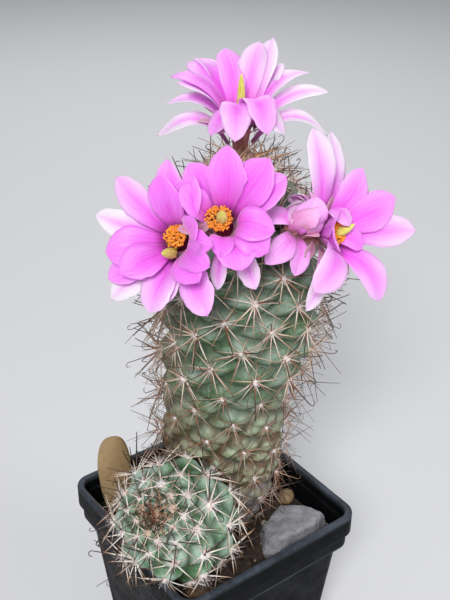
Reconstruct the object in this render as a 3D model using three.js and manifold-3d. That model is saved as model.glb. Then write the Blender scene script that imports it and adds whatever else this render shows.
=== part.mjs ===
// Potted mammillaria in flower: a square pot of soil, a tall leaning stem and a young offset, both set
// with spiralling tubercles and spines, four open blooms, a withering one, and loose stones.
// Millimetres, +Z up, the pot's underside on z = 0 and its sides along X and Y.
import * as THREE from "three";
import Module from "manifold-3d";

const kit = await Module();
kit.setup();
const { Manifold, Mesh } = kit;

const GAP = 0.3;

// Pot: height, half width and corner radius of each ring, outside going up, inside going down
const POT_OUTSIDE = [
  [0, 27, 4],
  [50.8, 31.5, 4.5],
  [51, 33.8, 5],
  [56.3, 33.9, 5],
  [56.6, 35, 5.5],
  [64.4, 35, 5.5],
  [65, 34.4, 5],
];
const POT_INSIDE = [
  [65, 33.4, 4.6],
  [64.4, 32.8, 4.2],
  [60.4, 32.7, 4.2],
  [60, 31.9, 4],
  [51.5, 31.4, 3.8],
  [50.8, 30.2, 3.5],
  [1.6, 25.8, 3],
];
const RIM_HEIGHT = 65;
const FLOOR_THICKNESS = 1.6;
const CORNER_STEPS = 3;
const DRAIN_REACH = 14;
const DRAIN_RADIUS = 3.5;
const DRAIN_SIDES = 10;

// Soil: side rings, then the relief of its top
const SOIL_SIDE = [
  [1.9, 25.5, 2.7],
  [50.97, 29.9, 3.2],
  [51.7, 31.1, 3.5],
  [53.4, 31.1, 3.5],
];
const SOIL_TOP = 54;
const SOIL_RINGS = [0.86, 0.66, 0.44, 0.2];
const SOIL_RELIEF = 0.9;
const SOIL_ROUNDING = 6;
const FOOT_SIDES = 16;
const HOLE_SIDES = 24;
const BALL_STEPS = 9;

// Room inside the pot's wall, the gap left free: it shapes the offset where it leans over the rim
const WALL_CLEARANCE = [
  [39, 29, 3.2],
  [50.97, 29.9, 3.2],
  [51.7, 31.1, 3.5],
  [60.3, 31.6, 3.7],
  [60.7, 32.4, 3.9],
  [67, 32.5, 3.9],
];
const WALL_ZONE_LOW = 40;
const WALL_ZONE_HALF = 60;

// Spiral lattice shared by both stems
const GOLDEN_TURN = 137.508;
const LATTICE_A = 8;
const LATTICE_B = 5;
const LONGEST_STEP = 0.055;
const RING_REACH = 0.38;
const RING_RISE = 0.86;
const TIP_SHIFT = 0.6;
const TUBERCLE_SHARE = 0.19;
const SKIN_STEPS = 600;

// Main stem: valley radius by height, and the centre line it leans along
const STEM_OUTLINE = [
  [11.6, 46.5],
  [12.6, 54],
  [14.8, 60],
  [16.3, 68],
  [17.0, 85],
  [16.8, 98],
  [17.4, 108],
  [18.9, 118],
  [20.5, 128],
  [21.1, 138],
  [20.9, 150],
  [19.4, 160],
  [16.4, 168],
  [12.2, 175],
  [7.4, 180],
  [3.4, 182.4],
  [1.2, 182.9],
];
const STEM_LINE = [
  [7.4, 6.3, 46],
  [8.0, 5.9, 85],
  [9.0, 4.9, 108],
  [11.8, 2.4, 128],
  [12.3, 2.0, 184],
];
const STEM_TUBERCLE_AREA = 120;
const STEM_HOLE_RADIUS = 17.1;
const STEM_HOLE_FLOOR = 46;
const STEM_FOOT_RADIUS = 10;
const STEM_FOOT_TOP = 58;
const STEM_ROOT_HEIGHT = 51;
const STEM_SUMMIT = 183.4;

// Offset stem: a ball in its own frame, tipped towards the near corner
const OFFSET_CENTRE = new THREE.Vector3(-20.8, -9.5, 73);
const OFFSET_AXIS = new THREE.Vector3(-0.546, -0.416, 0.73);
const OFFSET_RADIUS = 16.9;
const OFFSET_LOW = -52;
const OFFSET_HIGH = 84;
const OFFSET_LATITUDE_STEP = 8;
const OFFSET_ROOT_INSET = 1.5;
const OFFSET_SUMMIT_RISE = 1;
const OFFSET_TUBERCLE_AREA = 104;
const OFFSET_REACH = 21.2;
const OFFSET_FOOT = new THREE.Vector3(-15, -6, 50.3);
const OFFSET_FOOT_RADIUS = 7;
const OFFSET_FOOT_TOP = 64;

// Spines
const SPINE_SIDES = 3;
const SPINE_RADIUS = 0.45;
const SPINE_SUNK = 1.3;
const RADIAL_ASIDE = 0.2;
const CENTRAL_ASIDE = 1.1;
const SPINE_TURNS = [-11, 79, 168, -101];
const SPINE_SWING = 12;
const SPINE_TRIES = [0, 22, -22];
const SPINE_CLEARANCE = 1.3;
const RADIAL_LENGTH = 11;
const CENTRAL_LENGTH = 13.5;
const RADIAL_LEAN = 58;
const CENTRAL_LEAN = 24;
const CENTRAL_LEAN_SPREAD = 10;
const HOOK_SHARE = 0.82;
const HOOK_DROP = 0.2;
const HOOK_NECK = 0.6;
const BEAD_COUNT = 12;
const BEAD_START = 0.34;

// The main stem's foot is bare and its lower part has shorter, older spines; the offset's are shorter too
const BARE_SHARE = 0.06;
const OLD_SHARE = 0.42;
const OLD_RADIAL_LENGTH = 8;
const OLD_CENTRAL_LENGTH = 9;
const OFFSET_RADIAL_LENGTH = 10;
const OFFSET_CENTRAL_LENGTH = 11.5;

// Blooms
const TUBE_FOOT_RADIUS = 1.9;
const THROAT_RADIUS = 3.6;
const THROAT_WALL = 0.8;
const CUP_DEPTH = 3;
const CUP_TAPER = 0.6;
const TUBE_SIDES = 10;
const TUBE_SWELL = 0.3;
const TUBE_NECK = 0.55;
const PETAL_ROOT_RADIUS = 3.1;
const PETAL_ROOT_SUNK = 1;
const PETAL_THICKNESS = 0.6;
const PETAL_BEND = 42;
const PETAL_FOLD = 0.16;
const PETAL_STATIONS = [0, 0.4, 0.78, 1];
const PETAL_SHAPE = [0.2, 0.76, 0.92, 0];

// Anther cluster: a hollow core by radius and height above the throat, set with anthers in two rings
const STAMEN_CORE = [
  [1.7, -2.7],
  [2.5, 1],
  [3, 2.6],
  [1.2, 3.2],
  [1.0, -2.7],
];
const STAMEN_SIDES = 7;
const ANTHER_COUNT = 9;
const ANTHER_SIZE = 1;
const ANTHER_CORNERS = 4;
const ANTHER_RINGS = [
  { reach: 2.9, height: 2.2 },
  { reach: 2.2, height: 3.1 },
];
const ANTHER_SCATTER = 0.5;

// Stigma: a straight style to its neck, then a swaying head whose last radius ends in a point
const STIGMA_FOOT = -2.7;
const STIGMA_NECK = 4.2;
const STIGMA_STATIONS = [0.2, 0.5, 0.85, 1];
const STIGMA_RADII = [0.5, 0.55, 0.9, 1.1, 0.8, 0];
const STIGMA_SIDES = 6;
const STIGMA_SWAY_LOSS = 0.4;

// Each petal: turn clockwise from the top as seen facing the bloom, lean from its axis, length, width
const BLOOMS = {
  top: {
    throat: new THREE.Vector3(13.3, 5.1, 195),
    axis: new THREE.Vector3(-0.06, -0.08, 1),
    tube: 15,
    stigma: { length: 13, turn: 0, sway: 0 },
    petals: [
      [-16, 50, 22, 6.5],
      [12, 44, 23, 6],
      [38, 46, 25, 6],
      [60, 66, 21, 5.5],
      [82, 54, 22, 6],
      [98, 76, 24, 5.5],
      [116, 98, 25, 5.5],
      [136, 62, 19, 6],
      [158, 84, 18, 6],
      [-176, 62, 17, 6],
      [-154, 86, 19, 6],
      [-130, 60, 20, 6],
      [-106, 94, 24, 5.5],
      [-84, 62, 22, 6],
      [-62, 78, 22, 5.5],
      [-42, 54, 22, 6],
    ],
  },
  left: {
    throat: new THREE.Vector3(-18.4, -10, 170),
    axis: new THREE.Vector3(-0.777, -0.419, 0.469),
    tube: 18,
    stigma: { length: 7, turn: -120, sway: 4 },
    petals: [
      [-85, 62, 23, 6.5],
      [-55, 62, 24, 7],
      [-28, 62, 21, 7],
      [-4, 66, 23, 7.5],
      [-112, 58, 22, 7],
      [-134, 68, 23, 6.5],
      [-155, 52, 18, 7],
      [-158, 80, 24, 6],
      [-178, 74, 21, 6.5],
      [161, 58, 18, 6.5],
      [138, 76, 23, 6.5],
      [112, 60, 16, 6.5],
      [90, 48, 14, 5.5],
      [46, 35, 13, 4.5],
    ],
  },
  middle: {
    throat: new THREE.Vector3(-9.3, -18, 175),
    axis: new THREE.Vector3(-0.43, -0.577, 0.69),
    tube: 17,
    stigma: { length: 6, turn: 0, sway: 0 },
    petals: [
      [4, 38, 24, 9],
      [36, 42, 24, 9.5],
      [64, 48, 23, 8],
      [112, 48, 20, 7.5],
      [140, 56, 18, 7],
      [168, 54, 17, 7],
      [178, 42, 11, 5],
      [-28, 46, 22, 7.5],
      [-60, 37, 17, 6],
      [150, 106, 20, 5.5],
      [-176, 112, 20, 4],
    ],
  },
  right: {
    throat: new THREE.Vector3(20.3, -26, 168),
    axis: new THREE.Vector3(0.131, -0.897, 0.423),
    tube: 14,
    stigma: { length: 8, turn: 90, sway: 2.5 },
    petals: [
      [2, 84, 28, 7.5],
      [22, 76, 27, 7],
      [44, 94, 21, 4],
      [48, 56, 22, 7.5],
      [84, 64, 24, 7],
      [108, 60, 26, 7],
      [136, 74, 22, 6.5],
      [166, 68, 25, 7.5],
      [-140, 84, 20, 7],
      [-164, 108, 22, 4.5],
      [-96, 36, 12, 5],
    ],
  },
};

// The withering bloom: a cup of petals curled inwards, with three loose ones hanging from it
const CLOSED_BLOOM = {
  throat: new THREE.Vector3(11.2, -22.3, 170),
  axis: new THREE.Vector3(-0.093, -0.762, 0.644),
  tube: 10.5,
  curled: 5,
  curledLean: 12,
  curledBend: -75,
  curledLength: 9.5,
  curledSpread: 1.5,
  curledWidth: 7,
  loose: [
    [-78, 84, 14, 5.5],
    [-122, 88, 18, 6],
    [-150, 78, 17, 5],
  ],
};

// Stones: grey one by corners, pebbles by centre, half sizes and turns
const GREY_STONE_FOOT = [
  [20, -11.5],
  [26.5, -18],
  [28.5, -27],
  [21, -30],
  [6, -28.5],
  [2, -25],
  [7, -17],
];
const GREY_STONE_RINGS = [
  { height: 52.6, share: 0.9 },
  { height: 57, share: 1 },
  { height: 62.4, share: 0.86 },
];
const GREY_STONE_TILT = -0.16;
const STONE_CUT_TOP = 70;
const PEBBLES = {
  tan_pebble: { centre: [26.6, -7.6, 56.2], half: [3.2, 2.8, 2.8], turn: 20, tip: 0 },
  upright_pebble: { centre: [-22.5, 26.2, 67], half: [6.6, 2.8, 15.5], turn: -18, tip: -9 },
  brown_pebble: { centre: [-23.5, -27, 56], half: [5, 3.6, 3.4], turn: -35, tip: 0 },
};
const PEBBLE_SIDES = 10;
const PEBBLE_SHARES = [-0.92, -0.6, 0, 0.6, 0.92];

const COLOURS = {
  pot: 0x15181a,
  soil: 0x2a211a,
  stem: 0x6f8f6a,
  offset: 0x7fa080,
  bloom: 0xe772cf,
  closed: 0xe5a4c4,
  stamens: 0xe58a1e,
  stigma: 0xa9b53c,
  grey: 0x8f8c92,
  tan: 0xa88d5c,
  brown: 0x7d5a35,
};

// Repeatable scatter between 0 and 1
function scatter(index, seed) {
  const wave = Math.sin(index * 12.9898 + seed * 78.233) * 43758.5453;
  return wave - Math.floor(wave);
}

function radians(degrees) {
  return THREE.MathUtils.degToRad(degrees);
}

// A turn in degrees brought between -180 and 180
function wrapped(degrees) {
  return degrees - 360 * Math.round(degrees / 360);
}

function solidOf(points, faces) {
  const made = new Manifold(
    new Mesh({
      numProp: 3,
      vertProperties: new Float32Array(points.flatMap((p) => [p.x, p.y, p.z])),
      triVerts: new Uint32Array(faces.flat()),
    }),
  );
  return made;
}

// Skins a row of rings, each of equal count or a single point; twin splits both faces of a blade alike
function loft(rings, { twin = false, loop = false } = {}) {
  const points = rings.flat();
  const faces = [];
  const starts = [];
  let next = 0;
  for (const ring of rings) {
    starts.push(next);
    next += ring.length;
  }
  const rows = loop ? rings.length : rings.length - 1;
  for (let row = 0; row < rows; row += 1) {
    const above = (row + 1) % rings.length;
    const low = rings[row].length;
    const high = rings[above].length;
    const count = Math.max(low, high);
    for (let i = 0; i < count; i += 1) {
      const j = (i + 1) % count;
      const a = starts[row] + (low > 1 ? i : 0);
      const b = starts[row] + (low > 1 ? j : 0);
      const c = starts[above] + (high > 1 ? j : 0);
      const d = starts[above] + (high > 1 ? i : 0);
      if (low === 1) {
        faces.push([a, c, d]);
      } else if (high === 1) {
        faces.push([a, b, c]);
      } else if (twin && i >= count / 2) {
        faces.push([a, b, d], [b, c, d]);
      } else {
        faces.push([a, b, c], [a, c, d]);
      }
    }
  }
  if (!loop) {
    const last = rings.length - 1;
    for (let i = 1; i + 1 < rings[0].length; i += 1) {
      faces.push([0, i + 1, i]);
    }
    for (let i = 1; i + 1 < rings[last].length; i += 1) {
      faces.push([starts[last], starts[last] + i, starts[last] + i + 1]);
    }
  }
  return solidOf(points, faces);
}

// A ring of a rounded square, going round from the +X side
function squareRing(height, half, radius) {
  const ring = [];
  for (let corner = 0; corner < 4; corner += 1) {
    const middle = radians(45 + 90 * corner);
    const reach = Math.SQRT2 * (half - radius);
    const centre = new THREE.Vector3(Math.cos(middle) * reach, Math.sin(middle) * reach, height);
    for (let step = 0; step <= CORNER_STEPS; step += 1) {
      const turn = radians(90 * corner + (90 * step) / CORNER_STEPS);
      const arm = new THREE.Vector3(Math.cos(turn), Math.sin(turn), 0);
      ring.push(centre.clone().addScaledVector(arm, radius));
    }
    const side = radians(90 * (corner + 1));
    ring.push(new THREE.Vector3(Math.cos(side) * half, Math.sin(side) * half, height));
  }
  return ring;
}

function circle(height, radius, sides, centre = new THREE.Vector3()) {
  const ring = [];
  for (let i = 0; i < sides; i += 1) {
    const turn = (2 * Math.PI * i) / sides;
    const x = centre.x + Math.cos(turn) * radius;
    const y = centre.y + Math.sin(turn) * radius;
    ring.push(new THREE.Vector3(x, y, height));
  }
  return ring;
}

// A solid of revolution from radius and height pairs, moved by a matrix
function turned(profile, sides, matrix, options) {
  const rings = profile.map(([radius, height]) =>
    radius === 0 ? [new THREE.Vector3(0, 0, height)] : circle(height, radius, sides),
  );
  for (const ring of rings) {
    ring.forEach((p) => p.applyMatrix4(matrix));
  }
  return loft(rings, options);
}

// A round rod along a path, its thickness given at each point; 0 ends it in a point
function rod(path, radii, sides) {
  let across = new THREE.Vector3(0.31, 0.52, 0.79);
  const rings = path.map((point, i) => {
    const before = path[Math.max(i - 1, 0)];
    const after = path[Math.min(i + 1, path.length - 1)];
    const ahead = after.clone().sub(before).normalize();
    across = across.clone().addScaledVector(ahead, -across.dot(ahead)).normalize();
    const beside = ahead.clone().cross(across);
    if (radii[i] === 0) {
      return [point];
    }
    const ring = [];
    for (let k = 0; k < sides; k += 1) {
      const turn = (2 * Math.PI * k) / sides;
      ring.push(
        point
          .clone()
          .addScaledVector(across, Math.cos(turn) * radii[i])
          .addScaledVector(beside, Math.sin(turn) * radii[i]),
      );
    }
    return ring;
  });
  return loft(rings);
}

function ball(centre, radius) {
  const rings = [[new THREE.Vector3(0, 0, -1)]];
  for (let step = 1; step < BALL_STEPS; step += 1) {
    const lift = -Math.PI / 2 + (Math.PI * step) / BALL_STEPS;
    rings.push(circle(Math.sin(lift), Math.cos(lift), 2 * BALL_STEPS));
  }
  rings.push([new THREE.Vector3(0, 0, 1)]);
  rings.flat().forEach((p) => p.multiplyScalar(radius).add(centre));
  return loft(rings);
}

function makePot() {
  const rings = [...POT_OUTSIDE, ...POT_INSIDE].map((ring) => squareRing(...ring));
  const drains = [];
  for (const x of [-DRAIN_REACH, DRAIN_REACH]) {
    for (const y of [-DRAIN_REACH, DRAIN_REACH]) {
      const centre = new THREE.Vector3(x, y, 0);
      const low = circle(-1, DRAIN_RADIUS, DRAIN_SIDES, centre);
      const high = circle(FLOOR_THICKNESS + 1, DRAIN_RADIUS, DRAIN_SIDES, centre);
      drains.push(loft([low, high]));
    }
  }
  return loft(rings).subtract(Manifold.union(drains));
}

function makeSoil() {
  const [, topHalf, topRadius] = SOIL_SIDE[SOIL_SIDE.length - 1];
  const rings = SOIL_SIDE.map((ring) => squareRing(...ring));
  SOIL_RINGS.forEach((share, row) => {
    const ring = squareRing(SOIL_TOP, topHalf * share, topRadius + (1 - share) * SOIL_ROUNDING * share);
    ring.forEach((p, i) => {
      p.z += SOIL_RELIEF * (scatter(i, row + 1) - 0.5);
    });
    rings.push(ring);
  });
  rings.push([new THREE.Vector3(0, 0, SOIL_TOP)]);
  return loft(rings);
}

// The space taken up by the pot's wall and everything outside it, with its gap
function makeWallZone() {
  const [, , radius] = POT_OUTSIDE[POT_OUTSIDE.length - 1];
  const block = loft([
    squareRing(WALL_ZONE_LOW, WALL_ZONE_HALF, radius),
    squareRing(RIM_HEIGHT + GAP, WALL_ZONE_HALF, radius),
  ]);
  return block.subtract(loft(WALL_CLEARANCE.map((ring) => squareRing(...ring))));
}

// The valley surface of a stem, addressed by tubercle number up the spiral, turn and rise off the surface
function stemSkin(outline, area, toWorld) {
  const curve = new THREE.SplineCurve(outline.map(([radius, height]) => new THREE.Vector2(radius, height)));
  const points = curve.getSpacedPoints(SKIN_STEPS);
  const numbers = [0];
  for (let i = 1; i < points.length; i += 1) {
    const radius = (points[i].x + points[i - 1].x) / 2;
    const step = Math.min(LONGEST_STEP, area / (2 * Math.PI * radius * radius * (1 + TUBERCLE_SHARE)));
    numbers.push(numbers[i - 1] + points[i].distanceTo(points[i - 1]) / radius / step);
  }
  function at(number, turn, rise) {
    const high = Math.max(
      numbers.findIndex((value) => value >= number),
      1,
    );
    const share = (number - numbers[high - 1]) / (numbers[high] - numbers[high - 1]);
    const spot = points[high - 1].clone().lerp(points[high], share);
    const along = points[high].clone().sub(points[high - 1]).normalize();
    const radius = spot.x + along.y * rise * spot.x;
    const height = spot.y - along.x * rise * spot.x;
    const angle = radians(turn);
    return toWorld(new THREE.Vector3(Math.cos(angle) * radius, Math.sin(angle) * radius, height));
  }
  return { at, total: numbers[numbers.length - 1] };
}

// A stem's closed surface of tubercles on the spiral lattice, and the tip of each tubercle
function makeTubercles(skin, root, summit) {
  const turnA = wrapped(LATTICE_A * GOLDEN_TURN);
  const turnB = wrapped(LATTICE_B * GOLDEN_TURN);
  const skip = LATTICE_A + LATTICE_B;
  const corners = Math.floor(skin.total);
  const count = corners - skip;
  const points = [];
  const faces = [];
  const tips = [];
  for (let j = 0; j < corners; j += 1) {
    points.push(skin.at(j, wrapped(j * GOLDEN_TURN), 0));
  }
  for (let j = 0; j < count; j += 1) {
    const turn = wrapped(j * GOLDEN_TURN) + (turnA + turnB) / 2;
    const middle = j + skip / 2;
    const ring = (shareA, shareB) =>
      skin.at(
        middle + shareA * LATTICE_A + shareB * LATTICE_B + TIP_SHIFT / 2,
        turn + shareA * turnA + shareB * turnB,
        TUBERCLE_SHARE * RING_RISE,
      );
    const first = points.length;
    const tip = skin.at(middle + TIP_SHIFT, turn, TUBERCLE_SHARE);
    points.push(tip, ring(RING_REACH, 0), ring(0, RING_REACH), ring(-RING_REACH, 0), ring(0, -RING_REACH));
    const around = [j + skip, j + LATTICE_B, j, j + LATTICE_A];
    for (let k = 0; k < 4; k += 1) {
      const here = first + 1 + k;
      const next = first + 1 + ((k + 1) % 4);
      faces.push([first, here, next]);
      faces.push([here, around[k], next]);
      faces.push([here, around[(k + 3) % 4], around[k]]);
    }
    const foot = skin.at(middle + TIP_SHIFT, turn, 0);
    const above = skin.at(middle + TIP_SHIFT + 1, turn, TUBERCLE_SHARE);
    const out = tip.clone().sub(foot).normalize();
    const up = above.sub(tip);
    up.addScaledVector(out, -up.dot(out)).normalize();
    tips.push({ tip, out, up, side: up.clone().cross(out), share: (j + 0.5) / count, index: j });
  }
  const bottom = points.push(root) - 1;
  for (let j = 0; j < skip; j += 1) {
    const next = j < LATTICE_B ? j + LATTICE_A : j - LATTICE_B;
    faces.push([next, j, bottom]);
  }
  const top = points.push(summit) - 1;
  for (let j = count; j < corners; j += 1) {
    if (j < count + LATTICE_A) {
      faces.push([j + LATTICE_B, j, top]);
    } else {
      faces.push([j - LATTICE_A, j, top]);
    }
  }
  return { body: solidOf(points, faces), tips };
}

// The path of one spine: lean from straight out of its tubercle, turn round it from straight up
function spinePath(place, lean, turn, length, hooked) {
  const around = place.up
    .clone()
    .multiplyScalar(Math.cos(radians(turn)))
    .addScaledVector(place.side, Math.sin(radians(turn)));
  const ahead = place.out
    .clone()
    .multiplyScalar(Math.cos(radians(lean)))
    .addScaledVector(around, Math.sin(radians(lean)));
  const shift = lean < RADIAL_LEAN ? CENTRAL_ASIDE : RADIAL_ASIDE;
  const from = place.tip.clone().addScaledVector(place.out, -SPINE_SUNK).addScaledVector(around, shift);
  const to = from.clone().addScaledVector(ahead, length + SPINE_SUNK);
  if (!hooked) {
    return [from, to];
  }
  return [from, from.clone().lerp(to, HOOK_SHARE), to.addScaledVector(place.up, -HOOK_DROP * length)];
}

function makeSpine(path, grown) {
  const radius = SPINE_RADIUS + grown;
  const radii = path.length === 2 ? [radius, grown] : [radius, radius * HOOK_NECK, grown];
  return rod(path, radii, SPINE_SIDES);
}

// The outer part of a spine as a string of points, to measure how near it comes to another
function spineBeads(path) {
  const beads = [];
  for (let i = 0; i < BEAD_COUNT; i += 1) {
    const share = BEAD_START + ((1 - BEAD_START) * i) / (BEAD_COUNT - 1);
    beads.push(path[0].clone().lerp(path[1], share));
  }
  return beads.concat(path.slice(2));
}

// The spines of a stem. One that would cross another, or come within the gap of anything in the way,
// is swung aside, and dropped if no swing clears it
function makeSpines(tips, choose, obstacles) {
  const kept = [];
  const beads = [];
  for (const place of tips) {
    const own = [];
    for (const [lean, turn, length, hooked] of choose(place)) {
      for (const swing of SPINE_TRIES) {
        const path = spinePath(place, lean, turn + swing, length, hooked);
        const line = spineBeads(path);
        const crossing = beads.some((bead) => line.some((p) => p.distanceTo(bead) < SPINE_CLEARANCE));
        if (!crossing && makeSpine(path, GAP).intersect(obstacles).isEmpty()) {
          kept.push(makeSpine(path, 0));
          own.push(...line);
          break;
        }
      }
    }
    beads.push(...own);
  }
  return kept;
}

// Frame of a bloom: z along its axis, x towards the top as seen facing it, origin at its foot
function bloomFrame({ throat, axis, tube }) {
  const z = axis.clone().normalize();
  const x = new THREE.Vector3(0, 0, 1).addScaledVector(z, -z.z).normalize();
  const y = z.clone().cross(x);
  const foot = throat.clone().addScaledVector(z, -tube);
  return new THREE.Matrix4().makeBasis(x, y, z).setPosition(foot);
}

function makeTube(frame, tube) {
  const profile = [
    [0, 0],
    [TUBE_FOOT_RADIUS, 0],
    [TUBE_FOOT_RADIUS + TUBE_SWELL, tube * TUBE_NECK],
    [THROAT_RADIUS, tube],
    [THROAT_RADIUS - THROAT_WALL, tube],
    [THROAT_RADIUS - THROAT_WALL - CUP_TAPER, tube - CUP_DEPTH],
    [0, tube - CUP_DEPTH],
  ];
  return turned(profile, TUBE_SIDES, frame);
}

// One petal in a bloom's frame: a folded blade that bends as it leaves the throat
function makePetal(frame, tube, [turn, lean, length, width], bend) {
  const angle = radians(turn);
  const radial = new THREE.Vector3(Math.cos(angle), -Math.sin(angle), 0);
  const across = new THREE.Vector3(Math.sin(angle), Math.cos(angle), 0);
  const spot = radial.clone().multiplyScalar(PETAL_ROOT_RADIUS);
  spot.z = tube - PETAL_ROOT_SUNK;
  const rings = [];
  PETAL_STATIONS.forEach((station, i) => {
    if (i > 0) {
      const pace = (station - PETAL_STATIONS[i - 1]) * length;
      const middle = (station + PETAL_STATIONS[i - 1]) / 2;
      const heading = radians(lean + bend * (middle - 0.5));
      spot.addScaledVector(radial, Math.sin(heading) * pace);
      spot.z += Math.cos(heading) * pace;
    }
    const heading = radians(lean + bend * (station - 0.5));
    const inward = radial.clone().multiplyScalar(-Math.cos(heading));
    inward.z = Math.sin(heading);
    const half = (width * PETAL_SHAPE[i]) / 2;
    if (half === 0) {
      rings.push([spot.clone()]);
      return;
    }
    const corner = (side, face) =>
      spot
        .clone()
        .addScaledVector(across, side * half)
        .addScaledVector(inward, Math.abs(side) * half * PETAL_FOLD * 2 + (face * PETAL_THICKNESS) / 2);
    rings.push([corner(1, 1), corner(0, 1), corner(-1, 1), corner(-1, -1), corner(0, -1), corner(1, -1)]);
  });
  for (const ring of rings) {
    ring.forEach((p) => p.applyMatrix4(frame));
  }
  return loft(rings, { twin: true });
}

function makeOpenBloom(bloom) {
  const frame = bloomFrame(bloom);
  const petals = bloom.petals.map((petal) => makePetal(frame, bloom.tube, petal, PETAL_BEND));
  return Manifold.union([makeTube(frame, bloom.tube), ...petals]);
}

function makeClosedBloom(bloom) {
  const frame = bloomFrame(bloom);
  const curled = [];
  for (let i = 0; i < bloom.curled; i += 1) {
    const turn = (360 * i) / bloom.curled;
    const length = bloom.curledLength + bloom.curledSpread * scatter(i, 7);
    const petal = [turn, bloom.curledLean, length, bloom.curledWidth];
    curled.push(makePetal(frame, bloom.tube, petal, bloom.curledBend));
  }
  const loose = bloom.loose.map((petal) => makePetal(frame, bloom.tube, petal, PETAL_BEND));
  return Manifold.union([makeTube(frame, bloom.tube), ...curled, ...loose]);
}

// The hole a bloom's tube stands in, a flared bore a little wider than the tube
function makeSocket(bloom) {
  const profile = [
    [TUBE_FOOT_RADIUS + GAP, -GAP],
    [TUBE_FOOT_RADIUS + TUBE_SWELL + GAP, bloom.tube * TUBE_NECK],
    [THROAT_RADIUS + GAP, bloom.tube],
  ];
  return turned(profile, TUBE_SIDES, bloomFrame(bloom));
}

// The ring of anthers round the stigma, standing in the throat
function makeStamens(bloom, seed) {
  const frame = bloomFrame(bloom);
  const profile = STAMEN_CORE.map(([radius, height]) => [radius, bloom.tube + height]);
  const core = turned(profile, STAMEN_SIDES, frame, { loop: true });
  const anthers = [];
  for (let i = 0; i < ANTHER_COUNT; i += 1) {
    const turn = radians((i * 360) / ANTHER_COUNT);
    const { reach, height: above } = ANTHER_RINGS[i % 2];
    const height = bloom.tube + above + ANTHER_SCATTER * scatter(i, seed);
    const spot = new THREE.Vector3(Math.cos(turn) * reach, Math.sin(turn) * reach, height);
    const ring = circle(height, ANTHER_SIZE, ANTHER_CORNERS, spot);
    const low = spot.clone().setZ(height - ANTHER_SIZE);
    const high = spot.clone().setZ(height + ANTHER_SIZE);
    const rings = [[low], ring, [high]];
    rings.flat().forEach((p) => p.applyMatrix4(frame));
    anthers.push(loft(rings));
  }
  return Manifold.union([core, ...anthers]);
}

// The green stigma on its style, which rises through the anthers and then sways to one side
function makeStigma(bloom) {
  const frame = bloomFrame(bloom);
  const { length, turn, sway } = bloom.stigma;
  const angle = radians(turn);
  const neck = bloom.tube + STIGMA_NECK;
  const path = [new THREE.Vector3(0, 0, bloom.tube + STIGMA_FOOT), new THREE.Vector3(0, 0, neck)];
  for (const share of STIGMA_STATIONS) {
    const aside = sway * share * share;
    const height = neck + share * (length - sway * STIGMA_SWAY_LOSS);
    path.push(new THREE.Vector3(Math.cos(angle) * aside, -Math.sin(angle) * aside, height));
  }
  path.forEach((p) => p.applyMatrix4(frame));
  return rod(path, STIGMA_RADII, STIGMA_SIDES);
}

function makeGreyStone(grown) {
  const centre = new THREE.Vector2(0, 0);
  for (const [x, y] of GREY_STONE_FOOT) {
    centre.add(new THREE.Vector2(x, y).divideScalar(GREY_STONE_FOOT.length));
  }
  const rings = GREY_STONE_RINGS.map(({ height, share }, row) =>
    GREY_STONE_FOOT.slice()
      .reverse()
      .map(([x, y]) => {
        const reach = new THREE.Vector2(x, y).sub(centre);
        const far = reach.length() * share + grown;
        reach.setLength(far);
        const tilt = row === GREY_STONE_RINGS.length - 1 ? GREY_STONE_TILT * reach.y : 0;
        const drop = row === 0 ? -grown : 0;
        return new THREE.Vector3(centre.x + reach.x, centre.y + reach.y, height + tilt + drop);
      }),
  );
  if (grown > 0) {
    rings.push(rings[2].map((p) => p.clone().setZ(STONE_CUT_TOP)));
  }
  return loft(rings);
}

function makePebble({ centre, half, turn, tip }, grown) {
  const matrix = new THREE.Matrix4()
    .makeTranslation(...centre)
    .multiply(new THREE.Matrix4().makeRotationZ(radians(turn)))
    .multiply(new THREE.Matrix4().makeRotationX(radians(tip)));
  const [a, b, c] = half.map((value) => value + grown);
  const rings = [[new THREE.Vector3(0, 0, -c)]];
  for (const share of PEBBLE_SHARES) {
    const reach = Math.sqrt(1 - share * share);
    const ring = circle(share * c, 1, PEBBLE_SIDES);
    ring.forEach((p) => p.set(p.x * a * reach, p.y * b * reach, p.z));
    rings.push(ring);
  }
  rings.push([new THREE.Vector3(0, 0, c)]);
  rings.flat().forEach((p) => p.applyMatrix4(matrix));
  return loft(rings);
}

// The turn of a spine: midway between a tubercle's four ridges, swung a little either way
function spineTurn(index, pick) {
  return SPINE_TURNS[(index * 3 + pick) % 4] + SPINE_SWING * (2 * scatter(index, pick + 3) - 1);
}

// Main stem: a hooked spine and a slim one on every other tubercle, two slim ones on the rest
function stemSpines({ share, index }) {
  if (share < BARE_SHARE) {
    return [];
  }
  const old = share < OLD_SHARE;
  const length = old ? OLD_RADIAL_LENGTH : RADIAL_LENGTH;
  if (index % 2 === 0) {
    const lean = CENTRAL_LEAN + CENTRAL_LEAN_SPREAD * scatter(index, 5);
    return [
      [lean, spineTurn(index, 0), old ? OLD_CENTRAL_LENGTH : CENTRAL_LENGTH, !old],
      [RADIAL_LEAN, spineTurn(index, 2), length, false],
    ];
  }
  return [
    [RADIAL_LEAN, spineTurn(index, 1), length, false],
    [RADIAL_LEAN, spineTurn(index, 3), length, false],
  ];
}

// Offset: the same, with one more on each
function offsetSpines({ index }) {
  const length = OFFSET_RADIAL_LENGTH;
  if (index % 2 === 0) {
    return [
      [CENTRAL_LEAN, spineTurn(index, 0), OFFSET_CENTRAL_LENGTH, true],
      [RADIAL_LEAN, spineTurn(index, 1), length, false],
      [RADIAL_LEAN, spineTurn(index, 3), length, false],
    ];
  }
  return [
    [RADIAL_LEAN, spineTurn(index, 0), length, false],
    [RADIAL_LEAN, spineTurn(index, 1), length, false],
    [RADIAL_LEAN, spineTurn(index, 2), length, false],
  ];
}

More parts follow.
